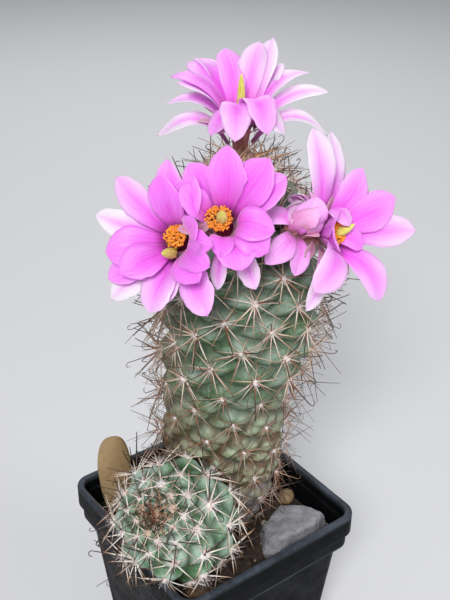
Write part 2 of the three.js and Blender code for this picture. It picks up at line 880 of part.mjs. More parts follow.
// Keeps the main body of a union: sealed hollows are filled and loose crumbs dropped
function wholeBody(solid) {
  const bodies = solid.simplify(0.02).decompose();
  return bodies.reduce((best, body) => (body.volume() > best.volume() ? body : best));
}

function stemCentre(height) {
  const last = STEM_LINE.length - 1;
  let high = STEM_LINE.findIndex(([, , z]) => z >= height);
  high = high < 0 ? last : Math.max(high, 1);
  const [x0, y0, z0] = STEM_LINE[high - 1];
  const [x1, y1, z1] = STEM_LINE[high];
  const share = (height - z0) / (z1 - z0);
  return new THREE.Vector3(x0 + (x1 - x0) * share, y0 + (y1 - y0) * share, 0);
}

const pot = makePot();
const greyStone = makeGreyStone(0);
const pebbles = Object.entries(PEBBLES).map(([name, spec]) => [name, makePebble(spec, 0)]);
const openBlooms = Object.entries(BLOOMS).map(([name, bloom]) => [name, wholeBody(makeOpenBloom(bloom))]);
const closedBloom = wholeBody(makeClosedBloom(CLOSED_BLOOM));

const stemFoot = stemCentre(STEM_HOLE_FLOOR);
const stemHole = loft([
  circle(STEM_HOLE_FLOOR, STEM_HOLE_RADIUS, HOLE_SIDES, stemFoot),
  circle(RIM_HEIGHT, STEM_HOLE_RADIUS, HOLE_SIDES, stemFoot),
]);
const offsetHole = loft([
  circle(OFFSET_FOOT.z - GAP, OFFSET_FOOT_RADIUS + GAP, FOOT_SIDES, OFFSET_FOOT),
  circle(RIM_HEIGHT, OFFSET_FOOT_RADIUS + GAP, FOOT_SIDES, OFFSET_FOOT),
]);
const soilCuts = [
  stemHole,
  offsetHole,
  ball(OFFSET_CENTRE, OFFSET_REACH),
  makeGreyStone(GAP),
  ...Object.values(PEBBLES).map((spec) => makePebble(spec, GAP)),
];
const soil = wholeBody(makeSoil().subtract(Manifold.union(soilCuts)));

const mainSkin = stemSkin(STEM_OUTLINE, STEM_TUBERCLE_AREA, (p) => p.add(stemCentre(p.z)));
const main = makeTubercles(
  mainSkin,
  stemCentre(STEM_ROOT_HEIGHT).setZ(STEM_ROOT_HEIGHT),
  stemCentre(STEM_SUMMIT).setZ(STEM_SUMMIT),
);
const mainFoot = loft([
  circle(STEM_HOLE_FLOOR + GAP, STEM_FOOT_RADIUS, FOOT_SIDES, stemFoot),
  circle(STEM_FOOT_TOP, STEM_FOOT_RADIUS, FOOT_SIDES, stemFoot),
]);
const mainCuts = [...Object.values(BLOOMS), CLOSED_BLOOM].map(makeSocket);
mainCuts.push(ball(OFFSET_CENTRE, OFFSET_REACH));
const mainBody = main.body.add(mainFoot).subtract(Manifold.union(mainCuts));

const offsetOutline = [];
for (let lift = OFFSET_LOW; lift <= OFFSET_HIGH; lift += OFFSET_LATITUDE_STEP) {
  offsetOutline.push([Math.cos(radians(lift)) * OFFSET_RADIUS, Math.sin(radians(lift)) * OFFSET_RADIUS]);
}
const offsetAxis = OFFSET_AXIS.clone().normalize();
const lean = new THREE.Quaternion().setFromUnitVectors(new THREE.Vector3(0, 0, 1), offsetAxis);
const toOffset = (p) => p.applyQuaternion(lean).add(OFFSET_CENTRE);
const offsetSkin = stemSkin(offsetOutline, OFFSET_TUBERCLE_AREA, toOffset);
const offset = makeTubercles(
  offsetSkin,
  OFFSET_CENTRE.clone().addScaledVector(offsetAxis, -OFFSET_RADIUS + OFFSET_ROOT_INSET),
  OFFSET_CENTRE.clone().addScaledVector(offsetAxis, OFFSET_RADIUS + OFFSET_SUMMIT_RISE),
);
const offsetFoot = loft([
  circle(OFFSET_FOOT.z, OFFSET_FOOT_RADIUS, FOOT_SIDES, OFFSET_FOOT),
  circle(OFFSET_FOOT_TOP, OFFSET_FOOT_RADIUS, FOOT_SIDES, OFFSET_FOOT),
]);
const offsetBody = offset.body.add(offsetFoot).subtract(makeWallZone());

const still = Manifold.union([
  pot,
  soil,
  greyStone,
  ...pebbles.map(([, solid]) => solid),
  ...openBlooms.map(([, solid]) => solid),
  closedBloom,
]);
const offsetKept = makeSpines(offset.tips, offsetSpines, still.add(mainBody));
const offsetStem = wholeBody(Manifold.union([offsetBody, ...offsetKept]));
const mainKept = makeSpines(main.tips, stemSpines, still.add(offsetStem));
const mainStem = wholeBody(Manifold.union([mainBody, ...mainKept]));

const plant = new THREE.Group();

function addNode(name, solid, colour) {
  const mesh = solid.getMesh();
  const geometry = new THREE.BufferGeometry();
  geometry.setAttribute("position", new THREE.BufferAttribute(new Float32Array(mesh.vertProperties), 3));
  geometry.setIndex(new THREE.BufferAttribute(new Uint32Array(mesh.triVerts), 1));
  const finish = new THREE.MeshStandardMaterial({ color: colour, flatShading: true });
  const node = new THREE.Mesh(geometry, finish);
  node.name = name;
  plant.add(node);
}

addNode("pot", pot, COLOURS.pot);
addNode("soil", soil, COLOURS.soil);
addNode("main_stem", mainStem, COLOURS.stem);
addNode("offset_stem", offsetStem, COLOURS.offset);
for (const [name, solid] of openBlooms) {
  addNode("bloom_" + name, solid, COLOURS.bloom);
}
addNode("bloom_closed", closedBloom, COLOURS.closed);
Object.entries(BLOOMS).forEach(([name, bloom], i) => {
  addNode("stamens_" + name, wholeBody(makeStamens(bloom, i + 20)), COLOURS.stamens);
  addNode("stigma_" + name, makeStigma(bloom), COLOURS.stigma);
});
addNode("grey_stone", greyStone, COLOURS.grey);
for (const [name, solid] of pebbles) {
  addNode(name, solid, name === "brown_pebble" ? COLOURS.brown : COLOURS.tan);
}

export default plant;
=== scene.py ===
"""Looks of a potted mammillaria in flower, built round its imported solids.

Lengths are in millimetres until a mesh is made, and then in metres.
+Z is up, and the pot's underside is on z = 0.
"""

import logging
import math
import random
from bisect import bisect_left
from collections.abc import Callable, Iterable, Sequence
from dataclasses import dataclass, field
from enum import Enum
from math import radians

import bpy
from mathutils import Matrix, Vector, noise
from mathutils.bvhtree import BVHTree


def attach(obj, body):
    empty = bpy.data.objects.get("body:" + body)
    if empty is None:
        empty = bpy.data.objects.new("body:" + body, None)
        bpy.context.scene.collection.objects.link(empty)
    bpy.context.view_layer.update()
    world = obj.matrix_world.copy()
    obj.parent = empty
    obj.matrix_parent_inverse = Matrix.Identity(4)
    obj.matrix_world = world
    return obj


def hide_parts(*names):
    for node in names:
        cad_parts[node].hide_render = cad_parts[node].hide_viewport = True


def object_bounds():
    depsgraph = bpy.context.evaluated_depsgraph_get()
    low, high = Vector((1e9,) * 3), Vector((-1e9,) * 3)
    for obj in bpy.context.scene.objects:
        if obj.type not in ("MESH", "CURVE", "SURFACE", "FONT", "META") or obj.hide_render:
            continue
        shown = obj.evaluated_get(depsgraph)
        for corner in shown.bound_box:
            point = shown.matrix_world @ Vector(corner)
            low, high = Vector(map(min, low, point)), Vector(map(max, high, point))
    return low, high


LOG = logging.getLogger("mammillaria")

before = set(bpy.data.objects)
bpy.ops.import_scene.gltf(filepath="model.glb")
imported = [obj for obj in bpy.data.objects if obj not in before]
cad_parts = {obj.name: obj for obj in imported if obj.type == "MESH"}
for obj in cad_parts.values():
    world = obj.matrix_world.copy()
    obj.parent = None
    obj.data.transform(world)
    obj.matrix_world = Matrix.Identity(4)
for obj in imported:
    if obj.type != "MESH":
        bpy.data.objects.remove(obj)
CAD_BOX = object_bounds()

MM = 0.001
UP = Vector((0, 0, 1))
BODY = "root"
BOX_SPARE = 1.8

Colour = tuple[float, float, float]
Socket = bpy.types.NodeSocket
Material = bpy.types.Material
Thing = bpy.types.Object

# Pot: height, half width and corner radius of each ring, outside going up, inside going down
POT_OUTSIDE = (
    (0, 26.6, 3.8),
    (0.4, 27, 4),
    (50.6, 31.5, 4.5),
    (51, 33.4, 5),
    (51.4, 33.8, 5),
    (56.0, 33.9, 5),
    (56.6, 34.6, 5.4),
    (57.2, 35, 5.5),
    (64.3, 35, 5.5),
    (64.8, 34.8, 5.3),
    (65, 34.4, 5),
)
POT_INSIDE = (
    (65, 33.4, 4.6),
    (64.8, 33, 4.3),
    (64.3, 32.8, 4.2),
    (60.4, 32.7, 4.2),
    (60, 31.9, 4),
    (51.5, 31.4, 3.8),
    (50.8, 30.2, 3.5),
    (1.6, 25.8, 3),
)
RIM_HEIGHT = 65
CORNER_STEPS = 9
POT_SIDE_STEPS = 8
DRAIN_REACH = 14
DRAIN_RADIUS = 3.5
DRAIN_CUT = (-2, 5)
DRAIN_SIDES = 24
SHARP_ANGLE = 32

# Soil and stones
SOIL_SIDE = ((1.9, 25.5, 2.7), (50.97, 29.9, 3.2), (51.7, 31.1, 3.5), (53.4, 31.1, 3.5))
SOIL_TOP = 54
SOIL_SINK = 0.2
SOIL_RINGS = 34
SOIL_SIDE_STEPS = 10
BROAD_LUMP = 6
FINE_LUMP = 2.3
LUMP_HEIGHT = 0.8
PEBBLE_RINGS = 26
PEBBLE_SIDES = 40

# Spiral lattice shared by both stems
GOLDEN_TURN = 137.508
LATTICE_A = 8
LATTICE_B = 5
LONGEST_STEP = 0.055
TIP_SHIFT = 0.6
TUBERCLE_SHARE = 0.19
SKIN_STEPS = 600
CELL_STEPS = 12
DOME_POWER = 0.68
TIP_REACH = 0.42
LUMP_POWER = 0.6
LUMP_RISE = 0.36
SHRUNK = 0.45
AGEING_SPAN = 22

# Main stem: valley radius by height, and the centre line it leans along
STEM_OUTLINE = (
    (11.6, 46.5),
    (12.6, 54),
    (14.8, 60),
    (16.3, 68),
    (17.0, 85),
    (16.8, 98),
    (17.4, 108),
    (18.9, 118),
    (20.5, 128),
    (21.1, 138),
    (20.9, 150),
    (19.4, 160),
    (16.4, 168),
    (12.2, 175),
    (7.4, 180),
    (3.4, 182.4),
    (1.2, 182.9),
)
STEM_LINE = (
    (7.4, 6.3, 46),
    (8.0, 5.9, 85),
    (9.0, 4.9, 108),
    (11.8, 2.4, 128),
    (12.3, 2.0, 184),
)
WAIST_FULLNESS = 0.07
WAIST_RISE = (60, 88)
WAIST_FALL = (136, 114)
STEM_AREA = 120
STEM_ROOT = 51
STEM_SUMMIT = 183.4

# Offset stem
OFFSET_CENTRE = Vector((-20.8, -9.5, 73))
OFFSET_AXIS = Vector((-0.65, -0.34, 0.73)).normalized()
OFFSET_RADIUS = 16.9
OFFSET_LATITUDES = tuple(range(-52, 85, 8))
OFFSET_AREA = 104
OFFSET_DENT = 20.9
CROWN_AREOLES = 9
CROWN_RADIUS = 1.6
HOOK_ROOM = 2.5
WALL_INSIDE = 32.4
RIM_GAP = 0.25

# Blooms: tube, throat and petals
TUBE_FOOT_RADIUS = 1.9
TUBE_SIDES = 28
PETAL_ROOT_RADIUS = 3.0
PETAL_STATIONS = (
    0, 0.07, 0.15, 0.24, 0.33, 0.42, 0.51, 0.6, 0.68,
    0.75, 0.81, 0.86, 0.905, 0.94, 0.965, 0.985, 1,
)
PETAL_COLUMNS = 10
PETAL_THICKNESS = 0.32
EDGE_RAGGEDNESS = 0.13
GROOVE_DEPTH = 0.12
GROOVE_WIDTH = 0.13
SHOULDER_AT = 0.6
SHOULDER_SPAN = 0.38
SHOULDER_BEND = 0.68
THROAT_DEPTH = 3.2
STAMENS = 130
STAMEN_RING = 1.5
LOBES_LIFT = 3.2
STIGMA_LOBES = 6
LOBE_STATIONS = 12
LOBE_SIDES = 7
STYLE_RADIUS = 0.5
STYLE_SIDES = 10

# Wool and spines
SPINE_SINK = 0.4
SPINE_FREE = 1.2
SHORTEST_SPINE = 3
SWAY = 0.04
SAG = 0.05
FIBRES = 26
FIBRES_OLD = 12
WARM_SIZES = (0.5, 0.28)
WARMTH = 0.75


# Helpers for numbers and vectors


def smooth(low: float, high: float, value: float) -> float:
    """A soft step from 0 at low to 1 at high."""
    share = min(max((value - low) / (high - low), 0), 1)
    return share * share * (3 - 2 * share)


def wrapped(degrees: float) -> float:
    """A turn in degrees brought between -180 and 180."""
    return degrees - 360 * round(degrees / 360)


def polar(angle: float, radius: float, height: float) -> Vector:
    """A point by its turn in radians, radius and height."""
    return Vector((math.cos(angle) * radius, math.sin(angle) * radius, height))


def circle(centre: Vector, radius: float, sides: int) -> list[Vector]:
    """Points evenly spaced on a level circle."""
    return [centre + polar(math.tau * k / sides, radius, 0) for k in range(sides)]


def square_to(way: Vector, axis: Vector) -> Vector:
    """The part of a vector that is square to a unit axis."""
    return way - axis * way.dot(axis)


def scattered(chance: random.Random) -> Vector:
    """A random vector that may point any way."""
    return Vector((chance.gauss(0, 1), chance.gauss(0, 1), chance.gauss(0, 1)))


def spline_points(knots: Sequence[tuple[float, float]], count: int) -> list[Vector]:
    """Evenly spaced points on a smooth curve through the knots.

    Args:
        knots: pairs of radius and height that the curve goes through.
        count: number of steps between the first and last point.

    Returns:
        count + 1 points, x for radius and y for height.
    """
    fine = 40
    line: list[Vector] = []
    last = len(knots) - 1
    for i in range(last):
        before, start, end, after = (Vector(knots[min(max(i + k, 0), last)]) for k in (-1, 0, 1, 2))
        slope_in = (end - before) / 2
        slope_out = (after - start) / 2
        for step in range(fine):
            t = step / fine
            cubic = (2 * start - 2 * end + slope_in + slope_out) * t**3
            square = (-3 * start + 3 * end - 2 * slope_in - slope_out) * t**2
            line.append(cubic + square + slope_in * t + start)
    line.append(Vector(knots[last]))
    lengths = [0.0]
    for a, b in zip(line, line[1:]):
        lengths.append(lengths[-1] + (b - a).length)
    spaced = []
    for i in range(count + 1):
        target = lengths[-1] * i / count
        high = min(max(bisect_left(lengths, target), 1), len(line) - 1)
        share = (target - lengths[high - 1]) / (lengths[high] - lengths[high - 1])
        spaced.append(line[high - 1].lerp(line[high], share))
    return spaced


def stem_centre(height: float) -> Vector:
    """The main stem's centre line at a height, as an offset in X and Y."""
    high = next((i for i, knot in enumerate(STEM_LINE) if knot[2] >= height), len(STEM_LINE) - 1)
    high = max(high, 1)
    x0, y0, z0 = STEM_LINE[high - 1]
    x1, y1, z1 = STEM_LINE[high]
    share = (height - z0) / (z1 - z0)
    return Vector((x0 + (x1 - x0) * share, y0 + (y1 - y0) * share, 0))


def column_place(spot: Vector) -> Vector:
    """Sets a point of the upright column on its leaning centre line, a little fuller at the waist."""
    fuller = 1 + WAIST_FULLNESS * smooth(*WAIST_RISE, spot.z) * smooth(*WAIST_FALL, spot.z)
    return Vector((spot.x * fuller, spot.y * fuller, spot.z)) + stem_centre(spot.z)


# Meshes


@dataclass
class Draft:
    """Points in millimetres, faces and point values of one mesh while it is being made."""

    points: list[Vector] = field(default_factory=list)
    faces: list[tuple[int, ...]] = field(default_factory=list)
    values: dict[str, dict[int, float]] = field(default_factory=dict)

    def point(self, spot: Vector, **values: float) -> int:
        """Adds a point with its values and returns its number."""
        self.points.append(spot.copy())
        number = len(self.points) - 1
        for name, value in values.items():
            self.values.setdefault(name, {})[number] = value
        return number

    def row(self, spots: Iterable[Vector], **values: float) -> list[int]:
        """Adds points that share their values and returns their numbers."""
        return [self.point(spot, **values) for spot in spots]

    def skin(self, rows: Sequence[Sequence[int]], capped: bool = False) -> None:
        """Joins rows that go round, of equal length or of a single point, with faces.

        Args:
            rows: the point numbers of each row, in order.
            capped: whether a face closes the first and the last row.
        """
        for low, high in zip(rows, rows[1:]):
            count = max(len(low), len(high))
            for i in range(count):
                j = (i + 1) % count
                if len(low) == 1:
                    self.faces.append((low[0], high[j], high[i]))
                elif len(high) == 1:
                    self.faces.append((low[i], low[j], high[0]))
                else:
                    self.faces.append((low[i], low[j], high[j], high[i]))
        if capped:
            self.faces.append(tuple(reversed(rows[0])))
            self.faces.append(tuple(rows[-1]))

    def moved(self, matrix: Matrix) -> None:
        """Moves every point by a matrix."""
        self.points = [matrix @ spot for spot in self.points]

    def tree(self) -> BVHTree:
        """A search tree of the faces, in millimetres."""
        return BVHTree.FromPolygons(self.points, self.faces)

    def to_object(self, name: str, finish: Material | None) -> Thing:
        """Makes the mesh object, in metres.

        Args:
            name: the object's name.
            finish: the material of all its faces.

        Returns:
            The new object, at the origin.
        """
        mesh = bpy.data.meshes.new(name)
        mesh.from_pydata([p * MM for p in self.points], [], self.faces)
        for value_name, numbers in self.values.items():
            layer = mesh.attributes.new(value_name, "FLOAT", "POINT")
            layer.data.foreach_set("value", [numbers.get(i, 0.0) for i in range(len(self.points))])
        if finish is not None:
            mesh.materials.append(finish)
        mesh.shade_smooth()
        mesh.update()
        made = bpy.data.objects.new(name, mesh)
        bpy.context.scene.collection.objects.link(made)
        return made


def plain_copy(piece: Thing) -> Thing:
    """Bakes an object's modifiers into its mesh and takes them off it."""
    bpy.context.view_layer.update()
    evaluated = piece.evaluated_get(bpy.context.evaluated_depsgraph_get())
    mesh = bpy.data.meshes.new_from_object(evaluated)
    mesh.name = piece.name
    piece.modifiers.clear()
    piece.data = mesh
    return piece


def roughen(piece: Thing, sizes: Sequence[tuple[float, float]], seed: float) -> None:
    """Moves a mesh's points in and out by smooth noise.

    Args:
        piece: the object, in metres.
        sizes: pairs of lump size and height, both in millimetres.
        seed: shifts the noise.
    """
    mesh = piece.data
    normals = [vertex.normal.copy() for vertex in mesh.vertices]
    for vertex, normal in zip(mesh.vertices, normals):
        spot = vertex.co / MM
        lift = 0.0
        for size, height in sizes:
            lift += height * noise.noise(spot / size + Vector((seed, seed * 1.7, -seed)))
        vertex.co += normal * lift * MM
    mesh.update()


def place(piece: Thing, slot: str, *nodes: str) -> None:
    """Makes a piece ride on the body and stand for its CAD nodes."""
    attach(piece, BODY)
    if nodes:
        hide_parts(*nodes)
    LOG.info("%s: %d faces", piece.name, len(piece.data.polygons))


# Node trees


class Wiring:
    """Adds nodes to one node tree and joins them."""

    def __init__(self, tree: bpy.types.NodeTree) -> None:
        """Keeps the tree.

        Args:
            tree: the node tree of a material, a shader group or a geometry group.
        """
        self.tree = tree

    def add(
        self, kind: str, inputs: dict[str, object] | None = None, **settings: object
    ) -> bpy.types.Node:
        """Adds a node.

        Args:
            kind: the node's type.
            inputs: a value or a socket for each named input.
            settings: the node's own settings.

        Returns:
            The new node.
        """
        node = self.tree.nodes.new(kind)
        for name, value in settings.items():
            setattr(node, name, value)
        for name, value in (inputs or {}).items():
            self.feed(node.inputs[name], value)
        return node

    def made(
        self, kind: str, output: str, inputs: dict[str, object] | None = None, **settings: object
    ) -> Socket:
        """Adds a node and returns one of its outputs."""
        return self.add(kind, inputs, **settings).outputs[output]

    def feed(self, target: Socket, value: object) -> None:
        """Links a socket, or sets a plain value."""
        if isinstance(value, Socket):
            self.tree.links.new(value, target)
        elif isinstance(value, tuple) and len(value) == 3 and target.type == "RGBA":
            target.default_value = (*value, 1)
        else:
            target.default_value = value

    def maths(self, operation: str, *values: object) -> Socket:
        """The result of a Math node."""
        node = self.add("ShaderNodeMath", operation=operation)
        for target, value in zip(node.inputs, values):
            self.feed(target, value)
        return node.outputs[0]

    def times(self, *values: object) -> Socket:
        """The product of two values."""
        return self.maths("MULTIPLY", *values)

    def plus(self, *values: object) -> Socket:
        """The sum of two values."""
        return self.maths("ADD", *values)

    def minus(self, *values: object) -> Socket:
        """The first value less the second."""
        return self.maths("SUBTRACT", *values)

    def vectors(self, operation: str, *values: object) -> Socket:
        """The vector that a Vector Math node gives; SCALE takes its factor second."""
        node = self.add("ShaderNodeVectorMath", operation=operation)
        targets = [node.inputs[0], node.inputs["Scale"]] if operation == "SCALE" else node.inputs
        for target, value in zip(targets, values):
            self.feed(target, value)
        return node.outputs["Vector"]

    def mix(self, share: object, low: object, high: object) -> Socket:
        """Two colours mixed by a share."""
        node = self.add("ShaderNodeMix", data_type="RGBA")
        self.feed(node.inputs[0], share)
        self.feed(node.inputs[6], low)
        self.feed(node.inputs[7], high)
        return node.outputs[2]

    def span(self, value: object, low: float, high: float) -> Socket:
        """A soft mask that is 0 at low and 1 at high."""
        node = self.add("ShaderNodeMapRange", interpolation_type="SMOOTHSTEP")
        self.feed(node.inputs["Value"], value)
        self.feed(node.inputs["From Min"], low)
        self.feed(node.inputs["From Max"], high)
        return node.outputs["Result"]

    def named(self, name: str) -> Socket:
        """A point value of the mesh, in a material."""
        return self.made("ShaderNodeAttribute", "Fac", attribute_name=name)

    def place(self) -> Socket:
        """Object coordinates, in metres."""
        return self.made("ShaderNodeTexCoord", "Object")

    def noise(self, where: object, scale: float, detail: float = 3) -> Socket:
        """Smooth noise between 0 and 1."""
        return self.made("ShaderNodeTexNoise", "Fac", {"Vector": where, "Scale": scale, "Detail": detail})


class Effect(Enum):
    """The shared surface effects, each a shader group built once."""

    MOTTLE = "mottle"
    RELIEF = "relief"
    DUST = "dust"


def group_of(
    name: str, inputs: dict[str, float], output: str
) -> tuple[Wiring, dict[str, Socket], Socket]:
    """Starts a shader group with float sockets.

    Args:
        name: the group's name.
        inputs: its named inputs and their values.
        output: the name of its output.

    Returns:
        The group's wiring, the sockets that carry its inputs, and the one that takes its output.
    """
    tree = bpy.data.node_groups.new(name, "ShaderNodeTree")
    for title, value in inputs.items():
        socket = tree.interface.new_socket(title, in_out="INPUT", socket_type="NodeSocketFloat")
        socket.default_value = value
    tree.interface.new_socket(output, in_out="OUTPUT", socket_type="NodeSocketFloat")
    wiring = Wiring(tree)
    start = wiring.add("NodeGroupInput")
    given = {title: start.outputs[title] for title in inputs}
    return wiring, given, wiring.add("NodeGroupOutput").inputs[output]


def mottle_group() -> bpy.types.NodeTree:
    """Two sizes of soft patches, as a mask between 0 and 1."""
    w, given, result = group_of("mottle", {"Scale": 100, "Contrast": 0.2, "Level": 0.5}, "Mask")
    where = w.place()
    broad = w.noise(where, given["Scale"], 4)
    fine = w.noise(where, w.times(given["Scale"], 4.3), 3)
    both = w.plus(w.times(broad, 0.7), w.times(fine, 0.3))
    lifted = w.minus(both, given["Level"])
    mask = w.plus(w.maths("DIVIDE", lifted, given["Contrast"]), 0.5)
    w.feed(result, w.maths("MINIMUM", w.maths("MAXIMUM", mask, 0), 1))
    return w.tree


def relief_group() -> bpy.types.NodeTree:
    """Grain in two sizes, as a height."""
    w, given, result = group_of("relief", {"Scale": 400, "Fine": 0.4}, "Height")
    where = w.place()
    broad = w.noise(where, given["Scale"], 3)
    fine = w.noise(where, w.times(given["Scale"], 5), 2)
    w.feed(result, w.plus(broad, w.times(fine, given["Fine"])))
    return w.tree


def dust_group() -> bpy.types.NodeTree:
    """Dust that settles in patches on what faces up, as a mask."""
    w, given, result = group_of("dust", {"Scale": 150, "Amount": 0.5}, "Mask")
    normal = w.made("ShaderNodeNewGeometry", "Normal")
    upward = w.made("ShaderNodeSeparateXYZ", "Z", {"Vector": normal})
    facing = w.span(upward, -0.2, 0.9)
    patches = w.span(w.noise(w.place(), given["Scale"], 5), 0.35, 0.7)
    level = w.times(w.plus(w.times(facing, 0.75), 0.25), patches)
    w.feed(result, w.times(level, given["Amount"]))
    return w.tree


GROUP_MAKERS: dict[Effect, Callable[[], bpy.types.NodeTree]] = {
    Effect.MOTTLE: mottle_group,
    Effect.RELIEF: relief_group,
    Effect.DUST: dust_group,
}


class Surface(Wiring):
    """A material under construction: its wiring, its Principled shader and its bump."""

    def __init__(self, name: str, roughness: float) -> None:
        """Starts a material.

        Args:
            name: the material's name.
            roughness: its roughness where nothing else feeds it.
        """
        self.material = bpy.data.materials.new(name)
        self.material.use_nodes = True
        super().__init__(self.material.node_tree)
        self.shader = self.tree.nodes["Principled BSDF"]
        self.shader.inputs["Roughness"].default_value = roughness

    def effect(self, which: Effect, **values: float) -> Socket:
        """Places a shared effect group and returns its output."""
        tree = bpy.data.node_groups.get(which.value) or GROUP_MAKERS[which]()
        node = self.add("ShaderNodeGroup", node_tree=tree)
        for name, value in values.items():
            node.inputs[name].default_value = value
        return node.outputs[0]

    def colour(self, value: object) -> None:
        """Feeds the base colour."""
        self.feed(self.shader.inputs["Base Color"], value)

    def rough(self, value: object) -> None:
        """Feeds the roughness."""
        self.feed(self.shader.inputs["Roughness"], value)

    def bump(self, height: object, depth: float) -> None:
        """Feeds a height through a Bump node; depth in millimetres."""
        node = self.add("ShaderNodeBump", {"Height": height, "Strength": 1.0, "Distance": depth * MM})
        self.feed(self.shader.inputs["Normal"], node.outputs["Normal"])

    def set(self, **values: object) -> None:
        """Sets constant inputs of the shader, underscores standing for spaces."""
        for name, value in values.items():
            self.feed(self.shader.inputs[name.replace("_", " ")], value)


# Finishes


@dataclass(frozen=True)
class PlasticFinish:
    """Black moulded nursery plastic, scuffed and dusty, with a painted bluish highlight along the rim and
    the ledge.
    """

    base: Colour = (0.0025, 0.003, 0.0035)
    # Colour of the painted highlight on the rim and ledge edges, broken up by scuffs.
    worn: Colour = (0.075, 0.09, 0.115)
    dust: Colour = (0.07, 0.068, 0.066)
    roughness: float = 0.4
    rim_highlight: tuple[float, float] = (0.0625, 0.0652)
    ledge_foot: tuple[float, float] = (0.0505, 0.0509)
    ledge_top: tuple[float, float] = (0.0525, 0.0512)

    def material(self) -> Material:
        """Builds the material."""
        s = Surface("black_plastic", self.roughness)
        height = s.made("ShaderNodeSeparateXYZ", "Z", {"Vector": s.place()})
        # Painted highlight bands at the rim and at the ledge below the collar, broken up by the scuff
        # mottle.
        rim = s.span(height, *self.rim_highlight)
        ledge_highlight = s.times(s.span(height, *self.ledge_foot), s.span(height, *self.ledge_top))
        scuffs = s.effect(Effect.MOTTLE, Scale=160, Contrast=0.25, Level=0.52)
        edges = s.times(s.plus(rim, ledge_highlight), s.plus(s.times(scuffs, 0.5), 0.35))
        colour = s.mix(edges, self.base, self.worn)
        dust = s.effect(Effect.DUST, Scale=90, Amount=0.06)
        s.colour(s.mix(dust, colour, self.dust))
        s.set(Specular_IOR_Level=0.07)
        s.rough(s.plus(s.times(scuffs, 0.2), self.roughness))
        s.bump(s.effect(Effect.RELIEF, Scale=700, Fine=0.5), 0.04)
        return s.material


@dataclass(frozen=True)
class PeatFinish:
    """Dark peat: brown fibres, black crumbs and a little pale grit."""

    dark: Colour = (0.012, 0.008, 0.006)
    light: Colour = (0.075, 0.045, 0.028)
    grit: Colour = (0.34, 0.27, 0.22)

    def material(self) -> Material:
        """Builds the material."""
        s = Surface("peat", 0.95)
        patches = s.effect(Effect.MOTTLE, Scale=260, Contrast=0.35, Level=0.5)
        colour = s.mix(patches, self.dark, self.light)
        pale = s.span(s.named("pale"), 0.4, 0.9)
        s.colour(s.mix(pale, colour, self.grit))
        s.bump(s.effect(Effect.RELIEF, Scale=900, Fine=0.6), 0.5)
        return s.material


@dataclass(frozen=True)
class FleshFinish:
    """Waxy plant skin: painted shade in the valleys, a painted highlight in the wax colour on the
    tubercles, corky low down, and a painted brown shade on one side.
    """

    name: str
    # Painted shade colour for the valleys between the tubercles.
    valley: Colour
    green: Colour
    # The wax colour: wax bloom in patches, and the painted highlight on the tubercle tops.
    wax: Colour
    old: Colour
    cork: Colour
    old_from: float
    old_to: float
    crust_top: float
    # How strongly the valleys are painted in shade.
    shade: float = 0.65
    crust: Colour = (0.24, 0.225, 0.25)
    scurf: Colour = (0.13, 0.075, 0.035)
    # Painted brown shade for the stem's left side, standing in for its dense reddish spines in shadow.
    tan: Colour = (0.19, 0.115, 0.055)
    left_side_shading: float = 0.0
    left_side_shade_span: tuple[float, float] = (2, 20)

    def material(self) -> Material:
        """Builds the material."""
        s = Surface(self.name, 0.45)
        rise = s.named("rise")
        parts = s.add("ShaderNodeSeparateXYZ", {"Vector": s.place()}).outputs
        height = parts["Z"]
        drift = s.times(s.minus(s.noise(s.place(), 60, 3), 0.5), 0.03)
        level = s.plus(height, drift)
        age = s.span(level, self.old_from * MM, self.old_to * MM)
        patches = s.effect(Effect.MOTTLE, Scale=240, Contrast=0.17, Level=0.52)
        flecks = s.effect(Effect.MOTTLE, Scale=640, Contrast=0.25, Level=0.57)
        cloud = s.span(s.noise(s.place(), 95, 3), 0.42, 0.6)
        bloomed = s.times(s.plus(patches, cloud), 0.42)
        young = s.mix(bloomed, self.green, self.wax)
        highlit_tops = s.span(rise, 0.25, 0.85)
        caps = s.span(rise, 0.2, 0.6)
        aged = s.mix(s.times(caps, s.plus(patches, 0.6)), self.old, self.cork)
        skin = s.mix(age, aged, young)
        # Painted shade: the side towards the camera's left is browned in clouds.
        if self.left_side_shading:
            aside = s.minus(s.times(parts["Y"], 0.6), s.times(parts["X"], 0.8))
            low, high = self.left_side_shade_span
            left_side_shade_mask = s.times(s.span(aside, low * MM, high * MM), s.plus(cloud, 0.6))
            skin = s.mix(s.times(left_side_shade_mask, self.left_side_shading), skin, self.tan)
        # Painted highlight: the tubercle tops lightened with the wax colour in flecks.
        tip_highlight = s.times(flecks, highlit_tops)
        skin = s.mix(s.times(tip_highlight, 0.5), skin, self.wax)
        # Painted shade: the skin darkens towards the valleys between the tubercles.
        skin = s.mix(s.times(s.span(rise, 0.7, 0.0), self.shade), skin, self.valley)
        worn = s.times(s.minus(1, age), s.span(s.noise(s.place(), 300, 4), 0.44, 0.58))
        skin = s.mix(s.times(worn, s.span(rise, 1.0, 0.4)), skin, self.scurf)
        crusted = s.span(level, self.crust_top * MM, (self.crust_top - 12) * MM)
        crusted = s.times(crusted, s.span(s.noise(s.place(), 170, 4), 0.38, 0.55))
        s.colour(s.mix(s.times(crusted, 0.85), skin, self.crust))
        s.rough(s.plus(s.times(patches, 0.18), 0.4))
        s.bump(s.effect(Effect.RELIEF, Scale=900, Fine=0.5), 0.12)
        s.set(Subsurface_Weight=0.1, Subsurface_Radius=(0.002, 0.003, 0.001), Subsurface_Scale=1.0)
        return s.material


